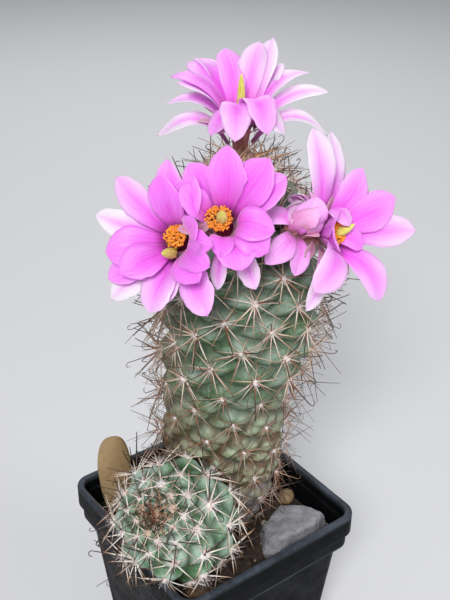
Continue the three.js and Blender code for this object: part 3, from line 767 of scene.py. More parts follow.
@dataclass(frozen=True)
class SpineFinish:
    """Horny spines: cream at the foot, brown at the tip, rusty where young; centrals dark all along."""

    foot: Colour = (0.92, 0.87, 0.82)
    shaft: Colour = (0.55, 0.38, 0.26)
    rust: Colour = (0.46, 0.22, 0.08)
    tip: Colour = (0.12, 0.04, 0.02)
    dark_foot: Colour = (0.065, 0.02, 0.013)
    dark_tip: Colour = (0.012, 0.005, 0.005)
    ember: Colour = (0.44, 0.11, 0.03)
    honey: Colour = (0.6, 0.4, 0.22)

    def material(self) -> Material:
        """Builds the material."""
        s = Surface("spine", 0.5)
        s.set(Specular_IOR_Level=0.3)
        along = s.named("along")
        shaft = s.mix(s.named("warm"), self.shaft, self.rust)
        root = s.mix(s.named("warm"), self.foot, self.honey)
        pale = s.mix(s.span(along, 0.28, 0.85), root, shaft)
        pale = s.mix(s.span(along, 0.7, 1.0), pale, self.tip)
        foot = s.mix(s.named("warm"), self.dark_foot, self.ember)
        dark = s.mix(s.span(along, 0.1, 0.6), foot, self.dark_tip)
        s.colour(s.mix(s.named("dark"), pale, dark))
        s.bump(s.noise(s.place(), 2500, 2), 0.02)
        return s.material


@dataclass(frozen=True)
class WoolFinish:
    """Areole wool: white with a pinkish cast, rusty at the growing tips."""

    white: Colour = (0.88, 0.84, 0.82)
    pink: Colour = (0.68, 0.5, 0.44)
    rust: Colour = (0.66, 0.42, 0.24)

    def material(self) -> Material:
        """Builds the material."""
        s = Surface("areole_wool", 0.95)
        patches = s.effect(Effect.MOTTLE, Scale=420, Contrast=0.3, Level=0.55)
        colour = s.mix(patches, self.white, self.pink)
        s.colour(s.mix(s.named("warm"), colour, self.rust))
        s.bump(s.effect(Effect.RELIEF, Scale=2600, Fine=0.7), 0.15)
        s.set(Sheen_Weight=0.4, Sheen_Roughness=0.5)
        return s.material


@dataclass(frozen=True)
class PetalFinish:
    """Silky petals: magenta stripe and base, pink veined blades, pale margins, brown-pink scales, and
    painted shade in the throat and at the petal roots.
    """

    name: str
    deep: Colour
    pink: Colour
    margin: Colour
    # Painted shade colour for the inside of the tube and the petal roots.
    throat: Colour
    scale: Colour = (0.44, 0.17, 0.15)
    white: Colour = (0.86, 0.74, 0.86)

    def material(self) -> Material:
        """Builds the material."""
        s = Surface(self.name, 0.46)
        along = s.named("along")
        across = s.maths("ABSOLUTE", s.named("across"))
        lengthwise = {
            "X": s.times(s.named("across"), 7),
            "Y": s.times(along, 1.2),
            "Z": s.times(s.named("petal"), 3.7),
        }
        veins = s.noise(s.made("ShaderNodeCombineXYZ", "Vector", lengthwise), 2.2, 4)
        stripe = s.times(s.span(across, 0.5, 0.0), s.span(along, 1.0, 0.2))
        base = s.span(along, 0.55, 0.1)
        deepness = s.maths("MAXIMUM", s.times(stripe, 0.85), base)
        deepness = s.times(deepness, s.span(veins, 0.05, 0.7))
        colour = s.mix(s.times(s.span(veins, 0.35, 0.75), 0.3), self.pink, self.deep)
        colour = s.mix(s.times(s.span(veins, 0.5, 0.28), 0.2), colour, self.margin)
        colour = s.mix(deepness, colour, self.deep)
        edge = s.times(s.span(across, 0.25, 1.0), s.span(along, 0.15, 0.7))
        edge = s.maths("MAXIMUM", edge, s.times(s.span(along, 0.6, 1.0), 0.75))
        edge = s.times(edge, s.plus(s.times(s.named("pale"), 0.9), 0.28))
        colour = s.mix(edge, colour, self.margin)
        colour = s.mix(s.times(s.named("pale"), s.span(across, -0.35, 0.7)), colour, self.white)
        # Painted shade: the petal roots and the inside of the tube darken to the throat colour.
        painted_base_shade = s.times(s.span(along, 0.28, 0.05), 0.9)
        colour = s.mix(s.maths("MAXIMUM", s.named("throat"), painted_base_shade), colour, self.throat)
        s.colour(s.mix(s.named("scale"), colour, self.scale))
        s.bump(veins, 0.12)
        s.set(Subsurface_Weight=0.35, Subsurface_Radius=(0.003, 0.0012, 0.003), Subsurface_Scale=1.0)
        s.set(Sheen_Weight=0.25, Sheen_Roughness=0.4)
        return s.material


@dataclass(frozen=True)
class GrainFinish:
    """A plain organic or stony finish of two mottled tones with specks and relief."""

    name: str
    dark: Colour
    light: Colour
    speck: Colour
    scale: float
    relief: float
    roughness: float
    specks: float = 0.5
    dust: float = 0.0

    def material(self) -> Material:
        """Builds the material."""
        s = Surface(self.name, self.roughness)
        patches = s.effect(Effect.MOTTLE, Scale=self.scale, Contrast=0.35, Level=0.5)
        colour = s.mix(patches, self.dark, self.light)
        spots = s.span(s.noise(s.place(), self.scale * 6, 2), 0.62, 0.7)
        colour = s.mix(s.times(spots, self.specks), colour, self.speck)
        if self.dust:
            # Upward faces lighter in patches: the stone's own light tone is mixed in there.
            upward_lightening = s.effect(Effect.DUST, Scale=self.scale * 0.6, Amount=self.dust)
            colour = s.mix(upward_lightening, colour, self.light)
        s.colour(colour)
        s.bump(s.effect(Effect.RELIEF, Scale=self.scale * 4, Fine=0.5), self.relief)
        return s.material


# Geometry node trees


class GeometryTree(Wiring):
    """A geometry node tree with named inputs, and what runs it on an object."""

    def __init__(self, name: str, inputs: dict[str, tuple[str, object]]) -> None:
        """Starts a tree.

        Args:
            name: the tree's name.
            inputs: for each named input, its socket type and its value.
        """
        tree = bpy.data.node_groups.new(name, "GeometryNodeTree")
        tree.interface.new_socket("Geometry", in_out="INPUT", socket_type="NodeSocketGeometry")
        for title, (kind, value) in inputs.items():
            socket = tree.interface.new_socket(title, in_out="INPUT", socket_type=kind)
            socket.default_value = value
        tree.interface.new_socket("Finish", in_out="INPUT", socket_type="NodeSocketMaterial")
        tree.interface.new_socket("Geometry", in_out="OUTPUT", socket_type="NodeSocketGeometry")
        super().__init__(tree)
        self.start = self.add("NodeGroupInput")

    def value(self, name: str) -> Socket:
        """One of the tree's own inputs."""
        return self.start.outputs[name]

    def point_value(self, name: str, kind: str = "FLOAT") -> Socket:
        """A named point value."""
        return self.made("GeometryNodeInputNamedAttribute", "Attribute", {"Name": name}, data_type=kind)

    def end(self, geometry: Socket) -> None:
        """Ends the tree in smooth shading, Realize Instances and Set Material."""
        soft = self.made("GeometryNodeSetShadeSmooth", "Geometry", {"Geometry": geometry})
        real = self.made("GeometryNodeRealizeInstances", "Geometry", {"Geometry": soft})
        wanted = {"Geometry": real, "Material": self.value("Finish")}
        dressed = self.made("GeometryNodeSetMaterial", "Geometry", wanted)
        self.add("NodeGroupOutput", {"Geometry": dressed})

    def run(self, piece: Thing, finish: Material, values: dict[str, float], seed: int) -> Thing:
        """Runs the tree on an object and keeps the result as its plain mesh.

        Args:
            piece: the object that holds the points.
            finish: the material of what is made.
            values: the tree's inputs by name.
            seed: the tree's seed.

        Returns:
            The same object with its new mesh.
        """
        modifier = piece.modifiers.new(self.tree.name, "NODES")
        modifier.node_group = self.tree
        wanted = {**values, "Seed": seed, "Finish": finish}
        for item in self.tree.interface.items_tree:
            if item.item_type == "SOCKET" and item.in_out == "INPUT" and item.name in wanted:
                modifier[item.identifier] = wanted[item.name]
        return plain_copy(piece)


def stalk_tree() -> GeometryTree:
    """Sweeps a tapered stalk from every point along its own direction, bend and hook."""
    t = GeometryTree(
        "stalks",
        {
            "Radius": ("NodeSocketFloat", 0.0002),
            "Tip Share": ("NodeSocketFloat", 0.2),
            "Hook Radius": ("NodeSocketFloat", 0.001),
            "Hook Turn": ("NodeSocketFloat", 3.3),
            "Wobble": ("NodeSocketFloat", 0.0),
            "Stations": ("NodeSocketInt", 6),
            "Sides": ("NodeSocketInt", 4),
            "Seed": ("NodeSocketInt", 1),
        },
    )
    line = t.made("GeometryNodeCurvePrimitiveLine", "Curve", {"Start": (0, 0, 0), "End": (0, 0, 1)})
    cut = t.made("GeometryNodeResampleCurve", "Curve", {"Curve": line, "Count": t.value("Stations")})
    values = {"Geometry": cut, "Name": "along", "Value": t.made("GeometryNodeSplineParameter", "Factor")}
    marked = t.made(
        "GeometryNodeStoreNamedAttribute", "Geometry", values, data_type="FLOAT", domain="POINT"
    )
    planted = {"Points": t.value("Geometry"), "Instance": marked}
    many = t.made("GeometryNodeInstanceOnPoints", "Instances", planted)
    real = t.made("GeometryNodeRealizeInstances", "Geometry", {"Geometry": many})
    along = t.point_value("along")
    hook = t.point_value("hook")
    ahead = t.point_value("ahead", "FLOAT_VECTOR")
    straight_end = t.minus(1, t.times(hook, 0.3))
    straight = t.maths("MINIMUM", along, straight_end)
    over = t.maths("DIVIDE", t.minus(along, straight), t.minus(1.0001, straight_end))
    turn = t.times(over, t.value("Hook Turn"))
    forth = t.times(t.times(t.maths("SINE", turn), t.value("Hook Radius")), hook)
    back = t.times(t.minus(1, t.maths("COSINE", turn)), t.value("Hook Radius"))
    reach = t.plus(t.times(straight, t.point_value("reach")), forth)
    lean = t.times(straight, straight)
    shift = t.vectors("SCALE", ahead, reach)
    shift = t.vectors("ADD", shift, t.vectors("SCALE", t.point_value("bend", "FLOAT_VECTOR"), lean))
    curl = t.vectors("SCALE", t.point_value("hookward", "FLOAT_VECTOR"), t.times(back, hook))
    shift = t.vectors("ADD", shift, curl)
    down = t.made("ShaderNodeCombineXYZ", "Vector", {"Z": t.times(along, -1)})
    shift = t.vectors("ADD", shift, down)
    bent = t.made("GeometryNodeSetPosition", "Geometry", {"Geometry": real, "Offset": shift})
    limits = {"Min": (-1, -1, -1), "Max": (1, 1, 1), "Seed": t.value("Seed")}
    jitter = t.made("FunctionNodeRandomValue", "Value", limits, data_type="FLOAT_VECTOR")
    small = t.vectors("SCALE", jitter, t.times(t.value("Wobble"), along))
    shaken = t.made("GeometryNodeSetPosition", "Geometry", {"Geometry": bent, "Offset": small})
    taper = t.minus(1, t.times(t.minus(1, t.value("Tip Share")), along))
    radius = t.times(t.times(taper, t.value("Radius")), t.point_value("thick"))
    sized = t.made("GeometryNodeSetCurveRadius", "Curve", {"Curve": shaken, "Radius": radius})
    round_profile = {"Resolution": t.value("Sides"), "Radius": 1.0}
    ring = t.made("GeometryNodeCurvePrimitiveCircle", "Curve", round_profile)
    swept = t.add("GeometryNodeCurveToMesh", {"Curve": sized, "Profile Curve": ring, "Fill Caps": True})
    if "Scale" in swept.inputs:
        t.feed(swept.inputs["Scale"], t.made("GeometryNodeInputRadius", "Radius"))
    t.end(swept.outputs["Mesh"])
    return t


def blob_tree() -> GeometryTree:
    """Sets a small uneven ball on every point, flattened along the point's own direction."""
    t = GeometryTree(
        "blobs",
        {
            "Flatness": ("NodeSocketFloat", 1.0),
            "Unevenness": ("NodeSocketFloat", 0.2),
            "Grain": ("NodeSocketFloat", 600.0),
            "Segments": ("NodeSocketInt", 8),
            "Rings": ("NodeSocketInt", 5),
            "Seed": ("NodeSocketInt", 1),
        },
    )
    sizes = {"Radius": 1.0, "Segments": t.value("Segments"), "Rings": t.value("Rings")}
    ball = t.made("GeometryNodeMeshUVSphere", "Mesh", sizes)
    out = t.point_value("out", "FLOAT_VECTOR")
    turned = t.made("FunctionNodeAlignRotationToVector", "Rotation", {"Vector": out}, axis="Z")
    size = t.point_value("size")
    sides = {"X": size, "Y": size, "Z": t.times(size, t.value("Flatness"))}
    scale = t.made("ShaderNodeCombineXYZ", "Vector", sides)
    planted = {"Points": t.value("Geometry"), "Instance": ball, "Rotation": turned, "Scale": scale}
    many = t.made("GeometryNodeInstanceOnPoints", "Instances", planted)
    real = t.made("GeometryNodeRealizeInstances", "Geometry", {"Geometry": many})
    where = t.vectors("ADD", t.made("GeometryNodeInputPosition", "Position"), t.value("Seed"))
    grain = {"Vector": where, "Scale": t.value("Grain"), "Detail": 1.0}
    lumps = t.made("ShaderNodeTexNoise", "Color", grain)
    spread = t.vectors("SUBTRACT", lumps, (0.5, 0.5, 0.5))
    offset = t.vectors("SCALE", spread, t.times(t.value("Unevenness"), size))
    t.end(t.made("GeometryNodeSetPosition", "Geometry", {"Geometry": real, "Offset": offset}))
    return t


@dataclass(frozen=True)
class Kit:
    """The geometry trees that every class shares."""

    stalks: GeometryTree
    blobs: GeometryTree


@dataclass
class Seeds:
    """Points for a geometry tree, each with its numbers and directions."""

    spots: list[Vector] = field(default_factory=list)
    numbers: dict[str, list[float]] = field(default_factory=dict)
    directions: dict[str, list[Vector]] = field(default_factory=dict)

    def add(self, spot: Vector, numbers: dict[str, float], directions: dict[str, Vector]) -> None:
        """Adds a point in millimetres with its values."""
        self.spots.append(spot.copy())
        for name, value in numbers.items():
            self.numbers.setdefault(name, []).append(value)
        for name, vector in directions.items():
            self.directions.setdefault(name, []).append(vector.copy())

    def extend(self, other: "Seeds") -> None:
        """Adds another lot of points, which carries the same values."""
        self.spots.extend(other.spots)
        for name, values in other.numbers.items():
            self.numbers.setdefault(name, []).extend(values)
        for name, vectors in other.directions.items():
            self.directions.setdefault(name, []).extend(vectors)

    def to_object(self, name: str) -> Thing:
        """Makes the object that carries the points."""
        mesh = bpy.data.meshes.new(name)
        mesh.from_pydata([p * MM for p in self.spots], [], [])
        for title, values in self.numbers.items():
            mesh.attributes.new(title, "FLOAT", "POINT").data.foreach_set("value", values)
        for title, vectors in self.directions.items():
            flat = [part for vector in vectors for part in vector]
            mesh.attributes.new(title, "FLOAT_VECTOR", "POINT").data.foreach_set("vector", flat)
        made = bpy.data.objects.new(name, mesh)
        bpy.context.scene.collection.objects.link(made)
        return made


# What the geometry trees make

CRUMB_FORM = {"Flatness": 0.65, "Unevenness": 1.1, "Grain": 700.0}
TUFT_FORM = {"Flatness": 0.55, "Unevenness": 1.2, "Grain": 1100.0, "Segments": 10, "Rings": 6}
POLLEN_FORM = {"Flatness": 1.6, "Unevenness": 0.6, "Grain": 1500.0, "Segments": 7, "Rings": 5}
RADIAL_FORM = {"Radius": 0.24 * MM, "Tip Share": 0.22, "Stations": 4, "Sides": 5, "Wobble": 0.08 * MM}
HOOKED_FORM = {
    "Radius": 0.25 * MM,
    "Tip Share": 0.45,
    "Hook Radius": 0.95 * MM,
    "Hook Turn": 3.5,
    "Stations": 11,
    "Sides": 4,
    "Wobble": 0.04 * MM,
}
FIBRE_FORM = {"Radius": 0.06 * MM, "Tip Share": 0.5, "Stations": 4, "Sides": 3, "Wobble": 0.08 * MM}
FILAMENT_FORM = {"Radius": 0.1 * MM, "Tip Share": 0.7, "Stations": 5, "Sides": 4, "Wobble": 0.2 * MM}


# Pot, soil and stones


def square_ring(height: float, half: float, radius: float, side_steps: int = 1) -> list[Vector]:
    """A ring of a rounded square, going round from the +X side.

    Args:
        height: its z.
        half: half its width.
        radius: its corner radius.
        side_steps: steps along each straight side.

    Returns:
        The ring's points.
    """
    ring = []
    reach = math.sqrt(2) * (half - radius)
    for corner in range(4):
        centre = polar(radians(45 + 90 * corner), reach, height)
        for step in range(CORNER_STEPS + 1):
            turn = radians(90 * corner + 90 * step / CORNER_STEPS)
            ring.append(centre + polar(turn, radius, 0))
        start = ring[-1]
        next_centre = polar(radians(135 + 90 * corner), reach, height)
        end = next_centre + polar(radians(90 + 90 * corner), radius, 0)
        for step in range(1, side_steps):
            ring.append(start.lerp(end, step / side_steps))
    return ring


@dataclass
class Pot:
    """The square nursery pot."""

    finish: PlasticFinish = field(default_factory=PlasticFinish)

    def mesh(self) -> Thing:
        """Builds the shell with its drain holes cut."""
        draft = Draft()
        rings = (*POT_OUTSIDE, *POT_INSIDE)
        draft.skin([draft.row(square_ring(*ring, POT_SIDE_STEPS)) for ring in rings], capped=True)
        shell = draft.to_object("pot_shell", self.finish.material())
        drill = Draft()
        for x in (-DRAIN_REACH, DRAIN_REACH):
            for y in (-DRAIN_REACH, DRAIN_REACH):
                centres = [Vector((x, y, height)) for height in DRAIN_CUT]
                ends = [drill.row(circle(centre, DRAIN_RADIUS, DRAIN_SIDES)) for centre in centres]
                drill.skin(ends, capped=True)
        cutter = drill.to_object("drain_cutter", None)
        cut = shell.modifiers.new("drains", "BOOLEAN")
        cut.object = cutter
        cut.solver = "EXACT"
        plain_copy(shell)
        bpy.data.objects.remove(cutter)
        shell.data.shade_smooth()
        shell.data.set_sharp_from_angle(angle=radians(SHARP_ANGLE))
        return shell

    def build(self) -> BVHTree:
        """Makes the pot and returns a search tree of its upper wall."""
        place(self.mesh(), "pot_plastic", "pot")
        draft = Draft()
        draft.skin([draft.row(square_ring(*ring)) for ring in (*POT_OUTSIDE, *POT_INSIDE)])
        return draft.tree()


@dataclass
class Soil:
    """The peat fill and the crumbs that lie on it."""

    crumbs: int = 950
    smallest: float = 0.35
    size_span: float = 1.25
    size_bias: float = 2.6
    pale_share: float = 0.06
    finish: PeatFinish = field(default_factory=PeatFinish)

    def height(self, spot: Vector) -> float:
        """The height of the soil's top at a place."""
        flat = Vector((spot.x, spot.y, 0))
        broad = 1.1 * noise.noise(flat / BROAD_LUMP)
        fine = 0.7 * noise.noise(flat / FINE_LUMP + Vector((4, 1, 0)))
        return SOIL_TOP - SOIL_SINK + (broad + fine) * LUMP_HEIGHT

    def build(self, blobs: GeometryTree) -> None:
        """Makes the fill and scatters the crumbs.

        Args:
            blobs: the tree that makes uneven balls.
        """
        draft = Draft()
        rows = [draft.row(square_ring(*ring, SOIL_SIDE_STEPS)) for ring in SOIL_SIDE]
        _, half, radius = SOIL_SIDE[-1]
        for step in range(1, SOIL_RINGS):
            share = 1 - step / SOIL_RINGS
            corner = radius * share + 0.5 * (1 - share) * share * half
            ring = square_ring(SOIL_TOP, half * share, corner, SOIL_SIDE_STEPS)
            for spot in ring:
                spot.z = self.height(spot)
            rows.append(draft.row(ring))
        rows.append([draft.point(Vector((0, 0, self.height(Vector()))))])
        draft.skin(rows)
        draft.faces.append(tuple(reversed(rows[0])))
        material = self.finish.material()
        place(draft.to_object("peat_fill", material), "peat", "soil")
        chance = random.Random(11)
        seeds = Seeds()
        edge = half - 1.2
        for _ in range(self.crumbs):
            spot = Vector((chance.uniform(-edge, edge), chance.uniform(-edge, edge), 0))
            spot.z = self.height(spot)
            size = self.smallest + self.size_span * chance.random() ** self.size_bias
            spot.z += size * 0.3
            pale = 1.0 if chance.random() < self.pale_share else 0.0
            out = scattered(chance).normalized()
            seeds.add(spot, {"size": size * MM, "pale": pale}, {"out": out})
        crumbs = blobs.run(seeds.to_object("peat_crumbs"), material, CRUMB_FORM, 3)
        place(crumbs, "peat", "soil")


@dataclass
class GreyStone:
    """The angular grey stone that leans on the pot's wall."""

    foot: tuple[tuple[float, float], ...] = (
        (20, -11.5), (26.5, -18), (28.5, -27), (21, -30), (6, -28.5), (2, -25), (7, -17),
    )
    levels: tuple[tuple[float, float], ...] = ((52.6, 0.9), (57, 1), (62.4, 0.86))
    tilt: float = -0.16
    edge_radius: float = 0.8
    cell: float = 0.55
    lumps: tuple[tuple[float, float], ...] = ((7, 0.6), (2.6, 0.3), (1.1, 0.14))
    seed: float = 3.1
    finish: GrainFinish = GrainFinish(
        "grey_stone", (0.15, 0.148, 0.16), (0.31, 0.305, 0.325), (0.05, 0.05, 0.055),
        scale=210, relief=0.35, roughness=0.85, specks=0.6, dust=0.3,
    )

    def build(self) -> None:
        """Makes the stone with worn edges and a grained surface."""
        middle = sum((Vector(c) for c in self.foot), Vector((0, 0))) / len(self.foot)
        draft = Draft()
        rows = []
        for level, (height, share) in enumerate(self.levels):
            row = []
            for corner in reversed(self.foot):
                reach = (Vector(corner) - middle) * share
                tilt = self.tilt * reach.y if level == len(self.levels) - 1 else 0
                row.append(draft.point(Vector((middle.x + reach.x, middle.y + reach.y, height + tilt))))
            rows.append(row)
        draft.skin(rows, capped=True)
        stone = draft.to_object("worn_grey_stone", self.finish.material())
        soften = stone.modifiers.new("edges", "BEVEL")
        soften.width = self.edge_radius * MM
        soften.segments = 3
        fine = stone.modifiers.new("grain", "REMESH")
        fine.mode = "VOXEL"
        fine.voxel_size = self.cell * MM
        plain_copy(stone)
        roughen(stone, self.lumps, self.seed)
        stone.data.shade_smooth()
        place(stone, "grey_stone", "grey_stone")


@dataclass
class Pebble:
    """A loose pebble: a pressed ball with its own lumps."""

    node: str
    centre: tuple[float, float, float]
    half: tuple[float, float, float]
    turn: float
    tip: float
    slot: str
    finish: GrainFinish
    lumps: tuple[tuple[float, float], ...] = ((5, 0.5), (1.8, 0.12))
    fullness: float = 2.0
    taper: float = 0.0

    def build(self) -> None:
        """Makes the pebble."""
        draft = Draft()
        rows = [[draft.point(Vector((0, 0, -self.half[2])))]]
        for step in range(1, PEBBLE_RINGS):
            lift = -math.pi / 2 + math.pi * step / PEBBLE_RINGS
            flat = math.cos(lift) ** (2 / self.fullness) * (1 - self.taper * (1 - math.sin(lift)) / 2)
            height = math.sin(lift) * self.half[2]
            row = []
            for k in range(PEBBLE_SIDES):
                angle = math.tau * k / PEBBLE_SIDES
                x = math.cos(angle) * self.half[0] * flat
                y = math.sin(angle) * self.half[1] * flat
                row.append(draft.point(Vector((x, y, height))))
            rows.append(row)
        rows.append([draft.point(Vector((0, 0, self.half[2])))])
        draft.skin(rows)
        turn = Matrix.Rotation(radians(self.turn), 4, "Z") @ Matrix.Rotation(radians(self.tip), 4, "X")
        draft.moved(Matrix.Translation(self.centre) @ turn)
        stone = draft.to_object(self.node + "_worn", self.finish.material())
        roughen(stone, self.lumps, self.half[0])
        place(stone, self.slot, self.node)


# Stems


class Age(Enum):
    """How old an areole is, from the bare foot to the growing crown."""

    BARE = 0
    OLD = 1
    GROWN = 2
    YOUNG = 3


@dataclass
class Areole:
    """The tip of one tubercle, from which wool and spines grow."""

    tip: Vector
    out: Vector
    up: Vector
    side: Vector
    share: float
    size: float


@dataclass
class SpiralSkin:
    """The valley surface of a stem, addressed by tubercle number up the spiral, turn and rise."""

    outline: Sequence[tuple[float, float]]
    area: float
    place: Callable[[Vector], Vector]
    line: list[Vector] = field(default_factory=list)
    numbers: list[float] = field(default_factory=list)

    def __post_init__(self) -> None:
        """Numbers the points of the outline by the tubercles below them."""
        self.line = spline_points(self.outline, SKIN_STEPS)
        self.numbers = [0.0]
        for low, high in zip(self.line, self.line[1:]):
            radius = (low.x + high.x) / 2
            step = min(LONGEST_STEP, self.area / (math.tau * radius * radius * (1 + TUBERCLE_SHARE)))
            self.numbers.append(self.numbers[-1] + (high - low).length / radius / step)

    def local_size(self, number: float) -> float:
        """The size of a tubercle as a share of the largest, by its number up the spiral."""
        high = min(max(bisect_left(self.numbers, number), 1), len(self.line) - 1)
        radius = self.line[high].x
        full = math.tau * radius * radius * LONGEST_STEP * (1 + TUBERCLE_SHARE)
        return min(1.0, math.sqrt(full / self.area))

    def at(self, number: float, turn: float, rise: float) -> Vector:
        """A point on or above the valley surface.

        Args:
            number: how many tubercles up the spiral.
            turn: its turn in degrees.
            rise: its rise along the normal, as a share of the radius.

        Returns:
            The point in the object's own frame.
        """
        high = min(max(bisect_left(self.numbers, number), 1), len(self.numbers) - 1)
        share = (number - self.numbers[high - 1]) / (self.numbers[high] - self.numbers[high - 1])
        spot = self.line[high - 1].lerp(self.line[high], share)
        along = (self.line[high] - self.line[high - 1]).normalized()
        radius = spot.x + along.y * rise * spot.x
        height = spot.y - along.x * rise * spot.x
        return self.place(polar(radians(turn), radius, height))


@dataclass
class Stem:
    """A stem of spiralling tubercles with wool and spines on each."""

    name: str
    skin: SpiralSkin
    root: Vector
    summit: Vector
    fit: Callable[[Vector], Vector]
    finish: FleshFinish
    lumpy_below: float = 0
    areoles: list[Areole] = field(default_factory=list)
    draft: Draft = field(default_factory=Draft)

    def dome(self, a: float, b: float, cell: int, lumpy: float) -> float:
        """The rise of a tubercle over its cell, 0 in the valleys and 1 at the tip.

        Args:
            a: share of the way across the cell along one spiral.
            b: the same along the other spiral.
            cell: the tubercle's number, which varies it a little.
            lumpy: how far the tubercle has shrunk into lumps with age, 0 to 1.

        Returns:
            The rise.
        """
        full = max(math.sin(math.pi * a) * math.sin(math.pi * b), 0) ** DOME_POWER
        peak = 0.5 + TIP_SHIFT / (LATTICE_A + LATTICE_B)
        near = max(0.0, 1 - math.hypot(a - peak, b - peak) / TIP_REACH)
        vary = 1 + 0.1 * noise.noise(Vector((cell * 1.37, 2.2, 0)))
        lump = abs(math.sin(math.tau * a) * math.sin(math.tau * b)) ** LUMP_POWER
        smooth_form = (0.8 * full + 0.2 * smooth(0, 1, near)) * vary
        crease = 0.06 * noise.noise(Vector((a * 5, b * 5, cell * 0.7))) * full
        return smooth_form * (1 - SHRUNK * lumpy) + LUMP_RISE * lumpy * lump * vary + crease

    def shape(self) -> None:
        """Draws the skin cell by cell, sharing the points along the valleys."""
        turn_a = wrapped(LATTICE_A * GOLDEN_TURN)
        turn_b = wrapped(LATTICE_B * GOLDEN_TURN)
        skip = LATTICE_A + LATTICE_B
        corners = math.floor(self.skin.numbers[-1])
        count = corners - skip
        known: dict[tuple[int, int, int], int] = {}

        def vertex(cell: int, i: int, j: int) -> int:
            """The point at step i, j of a cell, made once."""
            key_cell, key_i, key_j = cell, i, j
            if key_i == CELL_STEPS:
                key_cell, key_i = key_cell + LATTICE_A, 0
            if key_j == CELL_STEPS:
                key_cell, key_j = key_cell + LATTICE_B, 0
            key = (key_cell, key_i, key_j)
            if key not in known:
                a = i / CELL_STEPS
                b = j / CELL_STEPS
                inside = 0 < i < CELL_STEPS and 0 < j < CELL_STEPS
                number = cell + a * LATTICE_A + b * LATTICE_B
                turn = wrapped(cell * GOLDEN_TURN) + a * turn_a + b * turn_b
                valley = self.skin.at(number, turn, 0)
                lumpy = smooth(self.lumpy_below, self.lumpy_below - AGEING_SPAN, valley.z)
                rise = self.dome(a, b, cell, lumpy) if inside else 0.0
                spot = self.fit(self.skin.at(number, turn, TUBERCLE_SHARE * rise))
                known[key] = self.draft.point(spot, rise=rise)
            return known[key]

        for cell in range(count):
            for i in range(CELL_STEPS):
                for j in range(CELL_STEPS):
                    steps = ((i, j), (i, j + 1), (i + 1, j + 1), (i + 1, j))
                    self.draft.faces.append(tuple(vertex(cell, *step) for step in steps))
            self.areoles.append(self.areole(cell, count, turn_a, turn_b))
        bottom = self.draft.point(self.root, rise=0)
        top = self.draft.point(self.summit, rise=1)
        for cell in range(skip):
            for step in range(CELL_STEPS):
                if cell < LATTICE_B:
                    pair = (vertex(cell, step + 1, 0), vertex(cell, step, 0))
                else:
                    pair = (vertex(cell - LATTICE_B, 0, step), vertex(cell - LATTICE_B, 0, step + 1))
                self.draft.faces.append((*pair, bottom))
        for cell in range(count, corners):
            for step in range(CELL_STEPS):
                if cell < count + LATTICE_A:
                    near = cell - LATTICE_A
                    pair = (vertex(near, CELL_STEPS, step + 1), vertex(near, CELL_STEPS, step))
                else:
                    near = cell - skip
                    pair = (vertex(near, step, CELL_STEPS), vertex(near, step + 1, CELL_STEPS))
                self.draft.faces.append((*pair, top))

    def areole(self, cell: int, count: int, turn_a: float, turn_b: float) -> Areole:
        """The areole at the tip of a tubercle."""
        middle = cell + (LATTICE_A + LATTICE_B) / 2 + TIP_SHIFT
        turn = wrapped(cell * GOLDEN_TURN) + (turn_a + turn_b) / 2
        tip = self.skin.at(middle, turn, TUBERCLE_SHARE)
        foot = self.skin.at(middle, turn, 0)
        above = self.skin.at(middle + 1, turn, TUBERCLE_SHARE)
        out = (tip - foot).normalized()
        up = square_to(above - tip, out).normalized()
        return Areole(tip, out, up, up.cross(out), (cell + 0.5) / count, self.skin.local_size(middle))

    def build(self, node: str, slot: str) -> BVHTree:
        """Makes the skin and returns its search tree.

        Args:
            node: the CAD node it stands for.
            slot: its material slot.

        Returns:
            A search tree in millimetres.
        """
        self.shape()
        place(self.draft.to_object(self.name + "_skin", self.finish.material()), slot, node)
        return self.draft.tree()


@dataclass(frozen=True)
class SpineKind:
    """One sort of spine at one age: how many stand on an areole, and their length, lean and colour."""

    count: tuple[int, int]
    length: tuple[float, float]
    lean: tuple[float, float]
    dark: tuple[float, float]
    hooked: float = 0.0
    warm: float = 0.0
    thick: float = 1.0
    shrink: float = 0.5


